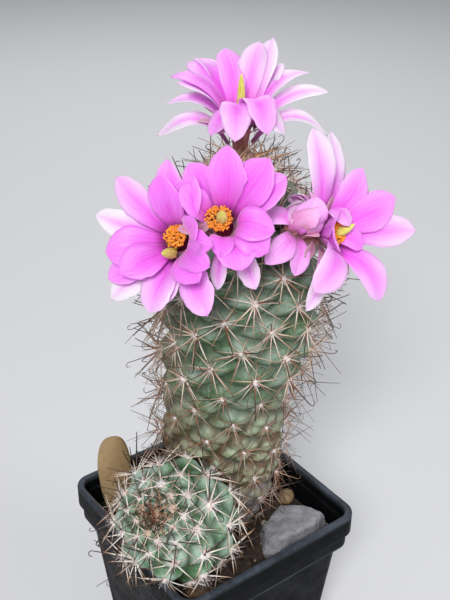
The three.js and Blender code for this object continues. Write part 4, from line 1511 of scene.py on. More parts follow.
@dataclass
class SpineCoat:
    """The wool and spines of one stem."""

    stem: Stem
    node: str
    slot: str
    seed: int
    radials: dict[Age, SpineKind]
    centrals: dict[Age, SpineKind]
    wool: dict[Age, float]
    bare_below: float
    old_below: float
    young_above: float
    crown_lift: float = 0.3
    outer: Seeds = field(default_factory=Seeds)
    inner: Seeds = field(default_factory=Seeds)
    tufts: Seeds = field(default_factory=Seeds)
    fibres: Seeds = field(default_factory=Seeds)

    def age(self, share: float) -> Age:
        """The age of an areole by its share of the way up."""
        if share < self.bare_below:
            return Age.BARE
        if share < self.old_below:
            return Age.OLD
        return Age.YOUNG if share > self.young_above else Age.GROWN

    def aim(self, spot: Areole, lean: float, turn: float) -> tuple[Vector, Vector]:
        """The foot and direction of a spine.

        Args:
            spot: its areole.
            lean: its lean in degrees from straight out.
            turn: its turn in degrees from straight up.

        Returns:
            The foot and the unit direction.
        """
        around = spot.up * math.cos(radians(turn)) + spot.side * math.sin(radians(turn))
        ahead = spot.out * math.cos(radians(lean)) + around * math.sin(radians(lean))
        foot = spot.tip - spot.out * SPINE_SINK + around * SPINE_SINK * spot.size
        return foot, ahead.normalized()

    def clear(self, foot: Vector, ahead: Vector, length: float, obstacles: Sequence[BVHTree]) -> float:
        """The length a spine may have, or 0 where something is in its way.

        Args:
            foot: where it starts.
            ahead: its unit direction.
            length: the length it wants.
            obstacles: what it may not cross.

        Returns:
            A length that ends inside the space allowed.
        """
        low, high = CAD_BOX
        start = foot + ahead * SPINE_FREE
        for tree in obstacles:
            if tree.ray_cast(start, ahead, length + HOOK_ROOM)[0] is not None:
                return 0.0
        for axis in range(3):
            limit = high[axis] / MM + BOX_SPARE if ahead[axis] > 0 else low[axis] / MM - BOX_SPARE
            if abs(ahead[axis]) > 1e-6:
                length = min(length, (limit - foot[axis]) / ahead[axis])
        return length

    def plant(
        self, kind: SpineKind, spot: Areole, chance: random.Random, obstacles: Sequence[BVHTree]
    ) -> Seeds:
        """Chooses the spines of one sort on one areole.

        Args:
            kind: the sort of spine.
            spot: the areole.
            chance: the source of variation.
            obstacles: what the spines may not cross.

        Returns:
            The spines.
        """
        chosen = Seeds()
        count = round(chance.randint(*kind.count) * (0.15 + 0.85 * spot.size))
        start = chance.uniform(0, 360)
        for k in range(count):
            turn = start + 360 * (k + chance.uniform(-0.35, 0.35)) / count
            foot, ahead = self.aim(spot, chance.uniform(*kind.lean), turn)
            length = chance.uniform(*kind.length) * (1 - kind.shrink * (1 - spot.size))
            length *= 1 - 0.22 * max(0.0, math.cos(radians(turn)))
            dark = chance.uniform(*kind.dark)
            hook = 1.0 if chance.random() < kind.hooked else 0.0
            sway = (square_to(scattered(chance) * SWAY, ahead) - spot.out * SAG) * length
            aside = spot.side * chance.uniform(-1, 1) + spot.up * chance.uniform(-0.6, 1)
            hookward = square_to(aside, ahead).normalized()
            reach = self.clear(foot, ahead, length, obstacles)
            if reach < SHORTEST_SPINE:
                continue
            thick = kind.thick * (0.65 + 0.35 * spot.size) * chance.uniform(0.7, 1.25)
            warm = min(kind.warm * chance.uniform(0.6, 1.4), 1)
            numbers = {"reach": reach * MM, "hook": hook, "thick": thick, "dark": dark, "warm": warm}
            chosen.add(foot, numbers, {"ahead": ahead, "bend": sway * MM, "hookward": hookward})
        return chosen

    def felt(self, spot: Areole, age: Age, chance: random.Random) -> None:
        """Adds the wool of one areole."""
        size = self.wool[age] * chance.uniform(0.7, 1.25) * (0.5 + 0.5 * spot.size)
        warm = WARMTH * smooth(*WARM_SIZES, spot.size)
        self.tufts.add(spot.tip - spot.out * 0.15, {"size": size * MM, "warm": warm}, {"out": spot.out})
        for _ in range(FIBRES_OLD if age is Age.OLD else FIBRES):
            foot, ahead = self.aim(spot, chance.uniform(10, 85), chance.uniform(0, 360))
            reach = size * chance.uniform(1.0, 1.9) * MM
            numbers = {"reach": reach, "hook": 0.0, "thick": 1.0, "dark": 0.0, "warm": warm}
            directions = {"ahead": ahead, "bend": scattered(chance) * 0.4 * MM, "hookward": spot.up}
            self.fibres.add(foot + spot.out * 0.5, numbers, directions)

    def crown(self, chance: random.Random, obstacles: Sequence[BVHTree]) -> None:
        """Fills the growing tip with small woolly areoles."""
        last = self.stem.areoles[-1]
        axis = (self.stem.summit - self.stem.root).normalized()
        side = square_to(last.side, axis).normalized()
        for k in range(CROWN_AREOLES):
            reach = CROWN_RADIUS * math.sqrt((k + 0.5) / CROWN_AREOLES)
            angle = radians(k * GOLDEN_TURN)
            way = side * math.cos(angle) + axis.cross(side) * math.sin(angle)
            tip = self.stem.summit + way * reach + axis * self.crown_lift
            out = (axis + way * 0.4).normalized()
            up = square_to(axis, out).normalized() * -1
            spot = Areole(tip, out, up, up.cross(out), 1.0, 0.3)
            self.inner.extend(self.plant(self.centrals[Age.YOUNG], spot, chance, obstacles))
            self.felt(spot, Age.YOUNG, chance)

    def plan(self, obstacles: Sequence[BVHTree]) -> None:
        """Chooses every spine, fibre and tuft."""
        chance = random.Random(self.seed)
        self.crown(chance, obstacles)
        for spot in self.stem.areoles:
            age = self.age(spot.share)
            if age is not Age.BARE:
                self.outer.extend(self.plant(self.radials[age], spot, chance, obstacles))
                self.inner.extend(self.plant(self.centrals[age], spot, chance, obstacles))
                self.felt(spot, age, chance)

    def build(self, kit: Kit, horn: Material, wool: Material, obstacles: Sequence[BVHTree]) -> None:
        """Makes the spines and the wool.

        Args:
            kit: the geometry trees.
            horn: the spines' material.
            wool: the wool's material.
            obstacles: what the spines may not cross.
        """
        self.plan(obstacles)
        lots = (
            ("_radial_spines", self.outer, kit.stalks, horn, RADIAL_FORM),
            ("_hooked_spines", self.inner, kit.stalks, horn, HOOKED_FORM),
            ("_wool", self.tufts, kit.blobs, wool, TUFT_FORM),
            ("_wool_fibres", self.fibres, kit.stalks, wool, FIBRE_FORM),
        )
        for number, (ending, seeds, tree, material, form) in enumerate(lots):
            holder = seeds.to_object(self.stem.name + ending)
            place(tree.run(holder, material, form, self.seed + number), self.slot, self.node)


# Blooms


@dataclass(frozen=True)
class Stigma:
    """A bloom's stigma: its length past the neck, and which way and how far it sways."""

    length: float
    turn: float
    sway: float
    width: float = 1.0
    fullness: float = 0.75
    aside: float = 0.0


@dataclass(frozen=True)
class Petal:
    """One petal: its turn round the bloom, its mean lean from the axis, its size and its curl."""

    turn: float
    lean: float
    length: float
    width: float
    curl: float | None = None
    bend_at: float = 0.62
    bend_span: float = 0.45
    sweep: float = 0.0
    pale: float = 0.0
    wrap: float = 0.0
    nod: float = 0.0
    blush: float = 0.0
    drop: float = 0.0


@dataclass(frozen=True)
class Cluster:
    """A bloom's anthers: how widely they spread, and which way and how far they lie to one side."""

    spread: float = 3.5
    turn: float = 0.0
    aside: float = 0.0
    hole: float = 0.9
    lift: float = 3.4


@dataclass
class Bloom:
    """A flower on its tube, drawn in its own frame: z along its axis, x towards its top."""

    name: str
    throat: Vector
    axis: Vector
    tube: float
    petals: tuple[Petal, ...]
    stigma: Stigma | None = None
    cluster: Cluster = Cluster()
    paler: float = 0.0
    curl: float = 45
    scales: int = 9
    draft: Draft = field(default_factory=Draft)

    def frame(self) -> Matrix:
        """The bloom's frame, with its origin at the tube's foot."""
        z = self.axis.normalized()
        x = square_to(UP, z).normalized()
        y = z.cross(x)
        foot = self.throat - z * self.tube
        return Matrix.Translation(foot) @ Matrix((x, y, z)).transposed().to_4x4()

    def headings(self, petal: Petal) -> list[float]:
        """A petal's heading from the axis at each station, in radians, round its mean lean."""
        low = petal.bend_at - petal.bend_span
        high = petal.bend_at + petal.bend_span
        curl = self.curl if petal.curl is None else petal.curl
        ramp = [smooth(low, high, s) for s in PETAL_STATIONS]
        spans = [b - a for a, b in zip(PETAL_STATIONS, PETAL_STATIONS[1:])]
        mean = sum((a + b) / 2 * span for a, b, span in zip(ramp, ramp[1:], spans))
        return [radians(petal.lean + curl * (value - mean)) for value in ramp]

    def blade(self, petal: Petal, seed: int, rank: float, scale: float = 0.0) -> None:
        """Draws one petal as a thin closed blade.

        Args:
            petal: its sizes.
            seed: varies its edge, twist and tone.
            rank: 0 for the innermost petal, 1 for the outermost.
            scale: 1 for a brown-pink outer scale.
        """
        chance = random.Random(seed)
        angle = radians(petal.turn)
        radial = Vector((math.cos(angle), -math.sin(angle), 0))
        across = Vector((math.sin(angle), math.cos(angle), 0))
        root = Vector((0, 0, self.tube - 0.6 - 1.5 * rank - petal.drop))
        spot = radial * (PETAL_ROOT_RADIUS + 0.5 * rank) + root
        headings = self.headings(petal)
        blunt = chance.uniform(1.7, 3.0)
        twist = radians(chance.uniform(-12, 12)) * (1 - scale)
        sweep = (petal.sweep + chance.uniform(-0.06, 0.06)) * petal.length
        phase = chance.uniform(0, math.tau)
        ripple = chance.uniform(0.1, 0.35) * (1 - scale)
        cup = chance.uniform(0.12, 0.32) + petal.wrap
        nod = Matrix.Rotation(radians(petal.nod), 3, "Y")
        neck = Vector((0, 0, self.tube))
        pale = min(max(self.paler + petal.pale + (rank - 0.62) * 1.1, -0.3), 0.9) + 0.12 * chance.random()
        rows = []
        for row, s in enumerate(PETAL_STATIONS):
            if row > 0:
                heading = (headings[row] + headings[row - 1]) / 2
                pace = (s - PETAL_STATIONS[row - 1]) * petal.length
                spot = spot + (radial * math.sin(heading) + Vector((0, 0, math.cos(heading)))) * pace
            inward = Vector((0, 0, math.sin(headings[row]))) - radial * math.cos(headings[row])
            wide = across * math.cos(twist * s) + inward * math.sin(twist * s)
            deep = inward * math.cos(twist * s) - across * math.sin(twist * s)
            half = petal.width / 2 * self.outline(s, blunt)
            top: list[int] = []
            low: list[int] = []
            for column in range(PETAL_COLUMNS + 1):
                x = 2 * column / PETAL_COLUMNS - 1
                edge = abs(x)
                torn = EDGE_RAGGEDNESS * noise.noise(Vector((s * 13, x * 0.4, seed)))
                ragged = 1 + torn * edge * smooth(0.2, 0.6, s)
                fold = half * (cup * edge**1.5 * (1 - 0.5 * s) - 0.25 * s * max(0.0, edge - 0.55) ** 1.3)
                wave = ripple * math.sin(phase + 8 * s) * edge * edge * s
                groove = -GROOVE_DEPTH * math.exp(-((x / GROOVE_WIDTH) ** 2)) * (1 if half > 1 else 0)
                middle = spot + across * (sweep * s * s) + wide * (x * half * ragged)
                middle += deep * (fold + wave + groove)
                thick = PETAL_THICKNESS / 2 * (1 - 0.6 * edge**3) * (1 - 0.5 * s)
                middle = nod @ (middle - neck) + neck
                side = nod @ deep * thick
                values = {
                    "along": s,
                    "across": x,
                    "pale": pale * smooth(0.1, 0.75, s),
                    "petal": float(seed % 37),
                    "scale": scale * (0.6 + 0.4 * (1 - s)),
                }
                top.append(self.draft.point(middle + side, **values))
                low.append(self.draft.point(middle - side, **values))
            rows.append(top + low[::-1])
        self.draft.skin(rows)
        first = rows[0]
        last = rows[-1]
        for i in range(PETAL_COLUMNS):
            self.draft.faces.append((first[i + 1], first[i], first[-1 - i], first[-2 - i]))
            self.draft.faces.append((last[i], last[i + 1], last[-2 - i], last[-1 - i]))

    def outline(self, s: float, blunt: float) -> float:
        """A petal's half width as a share of its widest: broad shoulders and a short sharp point."""
        wide = 0.4 + 0.6 * smooth(0, 0.62, s)
        if s > SHOULDER_AT:
            wide *= max(1 - min((s - SHOULDER_AT) / SHOULDER_SPAN, 1) ** blunt, 0) ** SHOULDER_BEND
        return max(wide, 0.09 * (1 - smooth(0.94, 1, s)), 0.012)

    def draw_tube(self) -> None:
        """Draws the tube and the throat inside it."""
        profile = (
            (0.0, 0.0, 0.0),
            (TUBE_FOOT_RADIUS, 0.0, 0.0),
            (TUBE_FOOT_RADIUS + 0.4, self.tube * 0.55, 0.0),
            (PETAL_ROOT_RADIUS - 0.1, self.tube - 2.6, 0.0),
            (PETAL_ROOT_RADIUS, self.tube - 0.9, 0.2),
            (PETAL_ROOT_RADIUS - 0.3, self.tube - 0.5, 0.8),
            (PETAL_ROOT_RADIUS - 0.6, self.tube - 1.5, 1.0),
            (PETAL_ROOT_RADIUS - 1.2, self.tube - THROAT_DEPTH, 1.0),
            (0.0, self.tube - 3.4, 1.0),
        )
        rows = []
        for radius, height, inside in profile:
            # The inside rows take the petal material's painted throat shade.
            values = {"throat": inside, "scale": 1 - inside, "along": 0.1, "across": 0.5}
            if radius == 0:
                rows.append([self.draft.point(Vector((0, 0, height)), **values)])
                continue
            row = []
            for k in range(TUBE_SIDES):
                turn = math.tau * k / TUBE_SIDES
                ridge = 1 + 0.05 * math.cos(7 * turn) * (1 - inside)
                row.append(self.draft.point(polar(turn, radius * ridge, height), **values))
            rows.append(row)
        self.draft.skin(rows)

    def draw(self) -> BVHTree:
        """Draws the whole corolla in the object's frame and returns its search tree."""
        self.draw_tube()
        base_seed = sum(ord(letter) for letter in self.name)
        order = sorted(self.petals, key=lambda petal: petal.lean - (petal.curl or 0) * 0.6)
        for i, petal in enumerate(self.petals):
            self.blade(petal, base_seed + i, order.index(petal) / (len(order) - 1), petal.blush)
        outer = sum(petal.lean for petal in self.petals) / len(self.petals)
        chance = random.Random(base_seed)
        for i in range(self.scales):
            turn = 360 * (i + 0.5) / self.scales + chance.uniform(-8, 8)
            lean = min(outer, 70) + chance.uniform(-8, 10)
            scale = Petal(turn, lean, chance.uniform(8, 11), 3.4, 40)
            self.blade(scale, base_seed + 80 + i, 1.35, 1.0)
        self.draft.moved(self.frame())
        return self.draft.tree()

    def build(self, slot: str, finish: Material) -> None:
        """Makes the corolla's mesh."""
        place(self.draft.to_object("corolla_" + self.name, finish), slot, "bloom_" + self.name)

    def build_inside(self, kit: Kit, filament: Material, anther: Material, green: Material) -> None:
        """Makes the stamens and the stigma.

        Args:
            kit: the geometry trees.
            filament: the filaments' material.
            anther: the anthers' material.
            green: the stigma's material.
        """
        chance = random.Random(len(self.petals) * 7)
        frame_matrix = self.frame()
        turn_only = frame_matrix.to_3x3()
        plan = self.cluster
        lie = radians(plan.turn)
        shift = Vector((math.cos(lie), -math.sin(lie), 0)) * plan.aside
        grains = Seeds()
        threads = Seeds()
        for k in range(STAMENS):
            share = (k + 0.5) / STAMENS
            radius = plan.hole + (plan.spread - plan.hole) * math.sqrt(share)
            angle = radians(k * GOLDEN_TURN)
            lift = plan.lift + 1.1 * (1 - share) + chance.uniform(-0.8, 0.8)
            spot = polar(angle, radius, self.tube + lift) + shift
            spot += Vector((chance.uniform(-0.3, 0.3), chance.uniform(-0.3, 0.3), 0))
            foot = polar(angle, STAMEN_RING, self.tube - THROAT_DEPTH)
            ahead = spot - foot
            lay = turn_only @ scattered(chance).normalized()
            grains.add(frame_matrix @ spot, {"size": chance.uniform(0.24, 0.37) * MM}, {"out": lay})
            out = (turn_only @ ahead).normalized()
            numbers = {"reach": ahead.length * MM, "hook": 0.0, "thick": 1.0}
            threads.add(frame_matrix @ foot, numbers, {"ahead": out, "bend": Vector(), "hookward": out})
        anthers = kit.blobs.run(grains.to_object("pollen_" + self.name), anther, POLLEN_FORM, 5)
        place(anthers, "anther", "stamens_" + self.name)
        holder = threads.to_object("filaments_" + self.name)
        place(kit.stalks.run(holder, filament, FILAMENT_FORM, 6), "anther", "stamens_" + self.name)
        place(self.lobes(green), "stigma", "stigma_" + self.name)

    def lobes(self, green: Material) -> Thing:
        """Makes the style and its bundle of closed stigma lobes."""
        plan = self.stigma
        draft = Draft()
        angle = radians(plan.turn)
        aside_way = Vector((math.cos(angle), -math.sin(angle), 0))
        neck = self.tube + LOBES_LIFT
        for lobe in range(STIGMA_LOBES):
            way = math.tau * lobe / STIGMA_LOBES
            rows = []
            for step in range(LOBE_STATIONS + 1):
                s = step / LOBE_STATIONS
                aside = plan.aside + plan.sway * s * s
                height = neck + s * (plan.length + 1 - plan.sway * 0.4)
                middle = Vector((0, 0, height)) + aside_way * aside
                belly = plan.fullness + (1 - plan.fullness) * math.sin(math.pi * s)
                belly *= (1 - s**5) * (1 - 0.35 * s)
                centre = middle + polar(way + 0.35 * s, 0.75 * plan.width * belly + 0.05, 0)
                radius = max(0.62 * plan.width * belly, 0.04)
                rows.append(draft.row(circle(centre, radius, LOBE_SIDES), along=s))
            draft.skin(rows, capped=True)
        style = []
        for height, share in ((self.tube - 3.0, 0.0), (self.tube, 0.3), (neck + 0.6, 1.0)):
            middle = aside_way * (plan.aside * share) + Vector((0, 0, height))
            style.append(draft.row(circle(middle, STYLE_RADIUS, STYLE_SIDES), along=0.0))
        draft.skin(style, capped=True)
        draft.moved(self.frame())
        return draft.to_object("stigma_lobes_" + self.name, green)


TOP_PETALS = (
    Petal(-36, 60, 26.5, 7, 75, 0.62, 0.4),
    Petal(-50, 54, 23.5, 9, 70, 0.62, 0.4),
    Petal(-76, 59, 23.5, 9, 80, 0.62, 0.4, pale=-0.1),
    Petal(-92, 50, 20, 10, 55),
    Petal(-86, 67, 22, 9, 80, 0.58, 0.4, pale=-0.1, drop=1.5),
    Petal(-92, 80, 25, 8.5, 95, 0.5, 0.4, drop=6),
    Petal(64, 60, 24.5, 9.5, 70, 0.6, 0.4, pale=0.1),
    Petal(76, 72, 25.5, 9, 60, 0.6, 0.45),
    Petal(88, 84, 27, 9, 95, 0.5, 0.4, pale=0.3, drop=5.5),
    Petal(16, 34, 23, 8.5, 30),
    Petal(34, 34, 25, 8.5, 20),
    Petal(-18, 38, 21.5, 8.5, 45, 0.65, 0.4),
    Petal(43, 44, 20, 6.5, 30),
    Petal(150, 78, 23, 9, 124, 0.5, 0.22, pale=0.3),
    Petal(-172, 82, 22, 9, 122, 0.46, 0.2, pale=0.35),
    Petal(132, 78, 18.5, 8.5, 100, 0.45, 0.25, pale=0.15),
    Petal(-146, 80, 16, 6.5, 110, 0.4, 0.25),
)
LEFT_PETALS = (
    Petal(-8, 60, 21, 8, 45),
    Petal(-10, 44, 19.5, 10.5, 40),
    Petal(-56, 62, 22, 8.5),
    Petal(-86, 70, 22, 8, pale=0.45),
    Petal(-108, 56, 18, 10.5, 50),
    Petal(-134, 70, 19.5, 8.5, 50),
    Petal(-140, 50, 16.5, 10, 45),
    Petal(-142, 78, 22, 8.5, pale=0.45),
    Petal(-176, 66, 18.5, 9.5),
    Petal(174, 68, 15, 7.5),
    Petal(136, 72, 20.5, 9, 40),
    Petal(126, 48, 18, 9.5, 60),
    Petal(104, 48, 19, 8, 70),
    Petal(84, 44, 18, 7.5, 50),
    Petal(60, 32, 16, 7.5, 25),
    Petal(16, 54, 19, 9, 40),
)
MIDDLE_PETALS = (
    Petal(2, 38, 21.5, 10.5, 20, 0.62, 0.45, 0.05),
    Petal(38, 42, 21.5, 11.5, 25),
    Petal(58, 52, 20, 8.5, 35),
    Petal(100, 56, 16, 9.5, 95, 0.52, 0.3),
    Petal(124, 62, 16, 9, 95, 0.5, 0.3),
    Petal(162, 58, 15, 10, 70, 0.5, 0.35),
    Petal(-172, 44, 12.5, 7, 70, 0.5, 0.35),
    Petal(-34, 48, 18, 8.5, 30),
    Petal(-62, 38, 16, 7.5, 25),
    Petal(148, 108, 15, 6, 40, pale=0.4),
    Petal(-172, 112, 13, 4.5, 30, pale=0.3),
)
RIGHT_PETALS = (
    Petal(-1, 76, 27, 10, 30, pale=0.1),
    Petal(23, 81, 25.5, 9.5, 35, pale=0.15),
    Petal(46, 92, 20, 4.5, 30, pale=0.5),
    Petal(44, 60, 18.5, 11.5, 35),
    Petal(84, 62, 21.5, 11, 40),
    Petal(106, 64, 26, 9.5, 25, pale=0.05),
    Petal(160, 74, 24, 9.5, 65, 0.55, 0.4, pale=0.2),
    Petal(-125, 68, 23.5, 11, 90, 0.5, 0.4, pale=0.45),
    Petal(-136, 88, 21, 6, 60, pale=0.2),
    Petal(8, -12, 14, 7, -100, 0.5, 0.25),
    Petal(-50, 24, 13, 8, 25),
    Petal(-88, 30, 14, 9, 45),
    Petal(130, 44, 12, 6.5, 110, 0.45, 0.3),
)
BLOOMS = (
    Bloom(
        "top", Vector((13.4, 5.3, 193)), Vector((-0.06, -0.08, 1)), 13, TOP_PETALS,
        Stigma(9.5, 0, 0, 0.95, 1.0), Cluster(2.7, lift=2.4), paler=0.46, curl=70,
    ),
    Bloom(
        "left", Vector((-18.4, -10, 170)), Vector((-0.777, -0.419, 0.469)), 18, LEFT_PETALS,
        Stigma(5.5, 170, 0.3, 1.15, 0.95, 3.2), Cluster(2.8, 20, 1.5, 0.2),
    ),
    Bloom(
        "middle", Vector((-9.3, -18, 175)), Vector((-0.43, -0.577, 0.69)), 17, MIDDLE_PETALS,
        Stigma(6, -50, 0, 1.3, aside=0.9), Cluster(3.3, -50, 1.8), paler=-0.3, curl=35,
    ),
    Bloom(
        "right", Vector((20.3, -26, 168)), Vector((0.131, -0.897, 0.423)), 14, RIGHT_PETALS,
        Stigma(5.5, 55, 2.2, 1.1, 0.9), Cluster(2.9, -90, 0.6), paler=0.18,
    ),
)
BUD_PETALS = 9
BUD_STEP = 52


def bud_petal(i: int) -> Petal:
    """One petal of the closed bud, curled over its tip; those at the back are shorter and paler."""
    back = max(math.cos(radians(BUD_STEP * i)), 0)
    return Petal(
        turn=BUD_STEP * i,
        lean=-12 - 2 * (i % 3),
        length=15 - 0.5 * (i % 4) - 4 * back,
        width=9.2,
        curl=-86 - 6 * (i % 2),
        bend_at=0.5,
        bend_span=0.42,
        sweep=0.14 + 0.1 * (i % 2),
        pale=0.3 - 0.3 * (i % 3) + 0.6 * back,
        wrap=0.55,
        nod=26,
        blush=0.5 * (1 - back) if i % 3 == 2 else 0,
    )


CLOSED_PETALS = (
    Petal(-122, 80, 16, 7, 70, 0.5, 0.4, pale=-0.3),
    Petal(-152, 84, 13.5, 5.5, 75, 0.5, 0.4, pale=-0.3),
    Petal(-70, 84, 13, 5.5, 100, 0.45, 0.3, pale=-0.3),
    *(bud_petal(i) for i in range(BUD_PETALS)),
)
CLOSED_BLOOM = Bloom(
    "closed", Vector((13.0, -22.6, 171.4)), Vector((-0.093, -0.762, 0.644)), 10.5, CLOSED_PETALS,
    paler=0.3, scales=7,
)

TAN_ROUND = GrainFinish(
    "tan_pebble", (0.17, 0.1, 0.045), (0.34, 0.23, 0.12), (0.08, 0.05, 0.03),
    scale=260, relief=0.12, roughness=0.7, specks=0.4,
)
TAN_SLIP = GrainFinish(
    "tan_slip", (0.25, 0.16, 0.07), (0.345, 0.24, 0.12), (0.12, 0.08, 0.04),
    scale=110, relief=0.12, roughness=0.75, specks=0.25,
)
BROWN_LUMP = GrainFinish(
    "brown_stone", (0.035, 0.018, 0.01), (0.12, 0.065, 0.035), (0.02, 0.01, 0.006),
    scale=240, relief=0.4, roughness=0.85, specks=0.6,
)
PEBBLES = (
    Pebble("tan_pebble", (26.6, -7.6, 56.2), (3.2, 2.8, 2.8), 20, 0, "tan_stone", TAN_ROUND),
    Pebble(
        "upright_pebble", (-22.5, 26.2, 67), (6.6, 2.8, 15.5), -18, -9, "tan_stone", TAN_SLIP,
        lumps=((9, 0.25), (2.5, 0.08)), fullness=2.9, taper=0.28,
    ),
    Pebble(
        "brown_pebble", (-23.5, -27, 56), (5, 3.6, 3.4), -35, 0, "brown_stone", BROWN_LUMP,
        lumps=((4, 1.1), (1.5, 0.4)),
    ),
)


# Fits between pieces


def pressed_by_offset(spot: Vector) -> Vector:
    """Dents the main stem where the offset leans on it."""
    reach = spot - OFFSET_CENTRE
    if reach.length < OFFSET_DENT:
        return OFFSET_CENTRE + reach.normalized() * OFFSET_DENT
    return spot


def clear_of_wall(spot: Vector) -> Vector:
    """Keeps the offset's skin out of the pot's wall: inside it or above its rim, whichever is nearer."""
    inner = WALL_INSIDE
    top = RIM_HEIGHT + RIM_GAP
    worst = max(abs(spot.x), abs(spot.y))
    if spot.z >= top or worst <= inner:
        return spot
    if top - spot.z < worst - inner:
        return Vector((spot.x, spot.y, top))
    return Vector((min(max(spot.x, -inner), inner), min(max(spot.y, -inner), inner), spot.z))


# Stage, lights and camera


@dataclass(frozen=True)
class Studio:
    """The pale floor, the soft lights and the camera at the photograph's angle."""

    camera_spot: tuple[float, float, float] = (-135.92, -188.80, 274.38)
    azimuth: float = -36.65
    pitch: float = 29.69
    roll: float = -0.52
    lens: float = 54
    sensor: float = 36
    floor_radius: float = 3500
    floor_sides: int = 96
    floor_tone: Colour = (0.62, 0.62, 0.63)
    floor_cloud: Colour = (0.56, 0.56, 0.57)
    sky_tone: Colour = (0.9, 0.93, 1)
    sky_strength: float = 0.36

    def camera(self) -> None:
        """Makes the camera."""
        data = bpy.data.cameras.new("view")
        data.sensor_fit = "VERTICAL"
        data.sensor_height = self.sensor
        data.lens = self.lens
        data.clip_start = 0.01
        data.clip_end = 20
        holder = bpy.data.objects.new("view", data)
        bpy.context.scene.collection.objects.link(holder)
        a = radians(self.azimuth)
        p = radians(self.pitch)
        forward = Vector((-math.sin(a) * math.cos(p), math.cos(a) * math.cos(p), -math.sin(p)))
        right = Vector((math.cos(a), math.sin(a), 0))
        down = forward.cross(right)
        r = radians(self.roll)
        right, down = right * math.cos(r) + down * math.sin(r), down * math.cos(r) - right * math.sin(r)
        axes = Matrix((right, -down, -forward)).transposed().to_4x4()
        holder.matrix_world = Matrix.Translation(Vector(self.camera_spot) * MM) @ axes
        bpy.context.scene.camera = holder

    def lamp(
        self, name: str, spot: tuple[float, float, float], aim: float, size: float, power: float
    ) -> None:
        """Makes a round area light, in metres and watts, that faces a height on the plant's axis."""
        data = bpy.data.lights.new(name, "AREA")
        data.shape = "DISK"
        data.size = size
        data.energy = power
        lamp = bpy.data.objects.new(name, data)
        bpy.context.scene.collection.objects.link(lamp)
        lamp.location = spot
        lamp.rotation_mode = "QUATERNION"
        lamp.rotation_quaternion = (UP * aim - Vector(spot)).to_track_quat("-Z", "Y")

    def build(self) -> None:
        """Makes the floor, the sky tone, the lights and the camera."""
        draft = Draft()
        draft.faces.append(tuple(draft.row(circle(Vector(), self.floor_radius, self.floor_sides))))
        s = Surface("pale_floor", 0.7)
        s.colour(s.mix(s.times(s.noise(s.place(), 3, 2), 0.1), self.floor_tone, self.floor_cloud))
        floor = draft.to_object("floor", s.material)
        world = bpy.data.worlds.new("soft_room")
        world.use_nodes = True
        sky = world.node_tree.nodes["Background"]
        sky.inputs["Color"].default_value = (*self.sky_tone, 1)
        sky.inputs["Strength"].default_value = self.sky_strength
        bpy.context.scene.world = world
        self.lamp("key", (-0.62, -0.6, 0.85), aim=0.12, size=0.35, power=12)
        self.lamp("fill", (0.55, -0.8, 0.45), aim=0.12, size=0.6, power=3.5)
        self.lamp("back", (0.45, 0.75, 0.8), aim=0.14, size=0.5, power=4)
        self.camera()


COLUMN_SKIN = FleshFinish(
    "column_skin",
    valley=(0.024, 0.045, 0.018),
    green=(0.045, 0.115, 0.034),
    wax=(0.33, 0.42, 0.35),
    old=(0.14, 0.1, 0.06),
    cork=(0.36, 0.4, 0.25),
    old_from=84,
    old_to=120,
    crust_top=76,
    left_side_shading=0.55,
)
OFFSET_SKIN = FleshFinish(
    "offset_skin",
    valley=(0.03, 0.065, 0.025),
    green=(0.07, 0.2, 0.07),
    wax=(0.51, 0.62, 0.57),
    old=(0.15, 0.2, 0.08),
    cork=(0.3, 0.3, 0.2),
    old_from=50,
    old_to=60,
    crust_top=54,
    shade=0.8,
)
FRESH_PETAL = PetalFinish(
    "petal",
    deep=(0.8, 0.05, 0.71),
    pink=(0.88, 0.17, 0.89),
    margin=(0.9, 0.57, 0.93),
    throat=(0.13, 0.008, 0.03),
)
FADED_PETAL = PetalFinish(
    "faded_petal",
    deep=(0.83, 0.12, 0.72),
    pink=(0.95, 0.34, 0.94),
    margin=(0.96, 0.6, 0.94),
    throat=(0.3, 0.04, 0.12),
    scale=(0.74, 0.27, 0.24),
    white=(0.95, 0.66, 0.9),
)
POLLEN = GrainFinish(
    "pollen", (0.72, 0.17, 0.01), (0.93, 0.45, 0.05), (0.5, 0.1, 0.01),
    scale=900, relief=0.1, roughness=0.85,
)
FILAMENT = GrainFinish(
    "filament", (0.4, 0.02, 0.1), (0.62, 0.1, 0.25), (0.75, 0.3, 0.3),
    scale=300, relief=0.02, roughness=0.5,
)
STIGMA_GREEN = GrainFinish(
    "stigma", (0.55, 0.58, 0.06), (0.74, 0.72, 0.2), (0.42, 0.46, 0.05),
    scale=700, relief=0.05, roughness=0.45,
)
COLUMN_RADIALS = {
    Age.OLD: SpineKind((8, 11), (7, 11), (54, 84), (0.3, 0.95), thick=0.6, warm=0.4),
    Age.GROWN: SpineKind((9, 11), (8.5, 13), (56, 82), (0.05, 0.4), warm=0.45, thick=1.0),
    Age.YOUNG: SpineKind((6, 8), (12, 17), (35, 78), (0, 0.15), warm=0.9, thick=1.3, shrink=0.15),
}
COLUMN_CENTRALS = {
    Age.OLD: SpineKind((4, 5), (9, 15), (25, 72), (0.6, 1), 0.25, warm=0.5, thick=0.7),
    Age.GROWN: SpineKind((4, 5), (11, 17), (28, 70), (0.75, 1), 0.35, warm=0.4, thick=0.9),
    Age.YOUNG: SpineKind((1, 2), (14, 18), (10, 60), (0.3, 1), 0.3, warm=0.8, thick=1.1, shrink=0.15),
}
OFFSET_RADIALS = {
    Age.OLD: SpineKind((8, 10), (7, 9), (60, 84), (0, 0.2)),
    Age.GROWN: SpineKind((9, 12), (7.5, 13), (54, 84), (0, 0.15), warm=0.15, thick=1.12),
    Age.YOUNG: SpineKind((4, 6), (7, 9), (30, 65), (0, 0.4), warm=0.6, shrink=0.2),
}
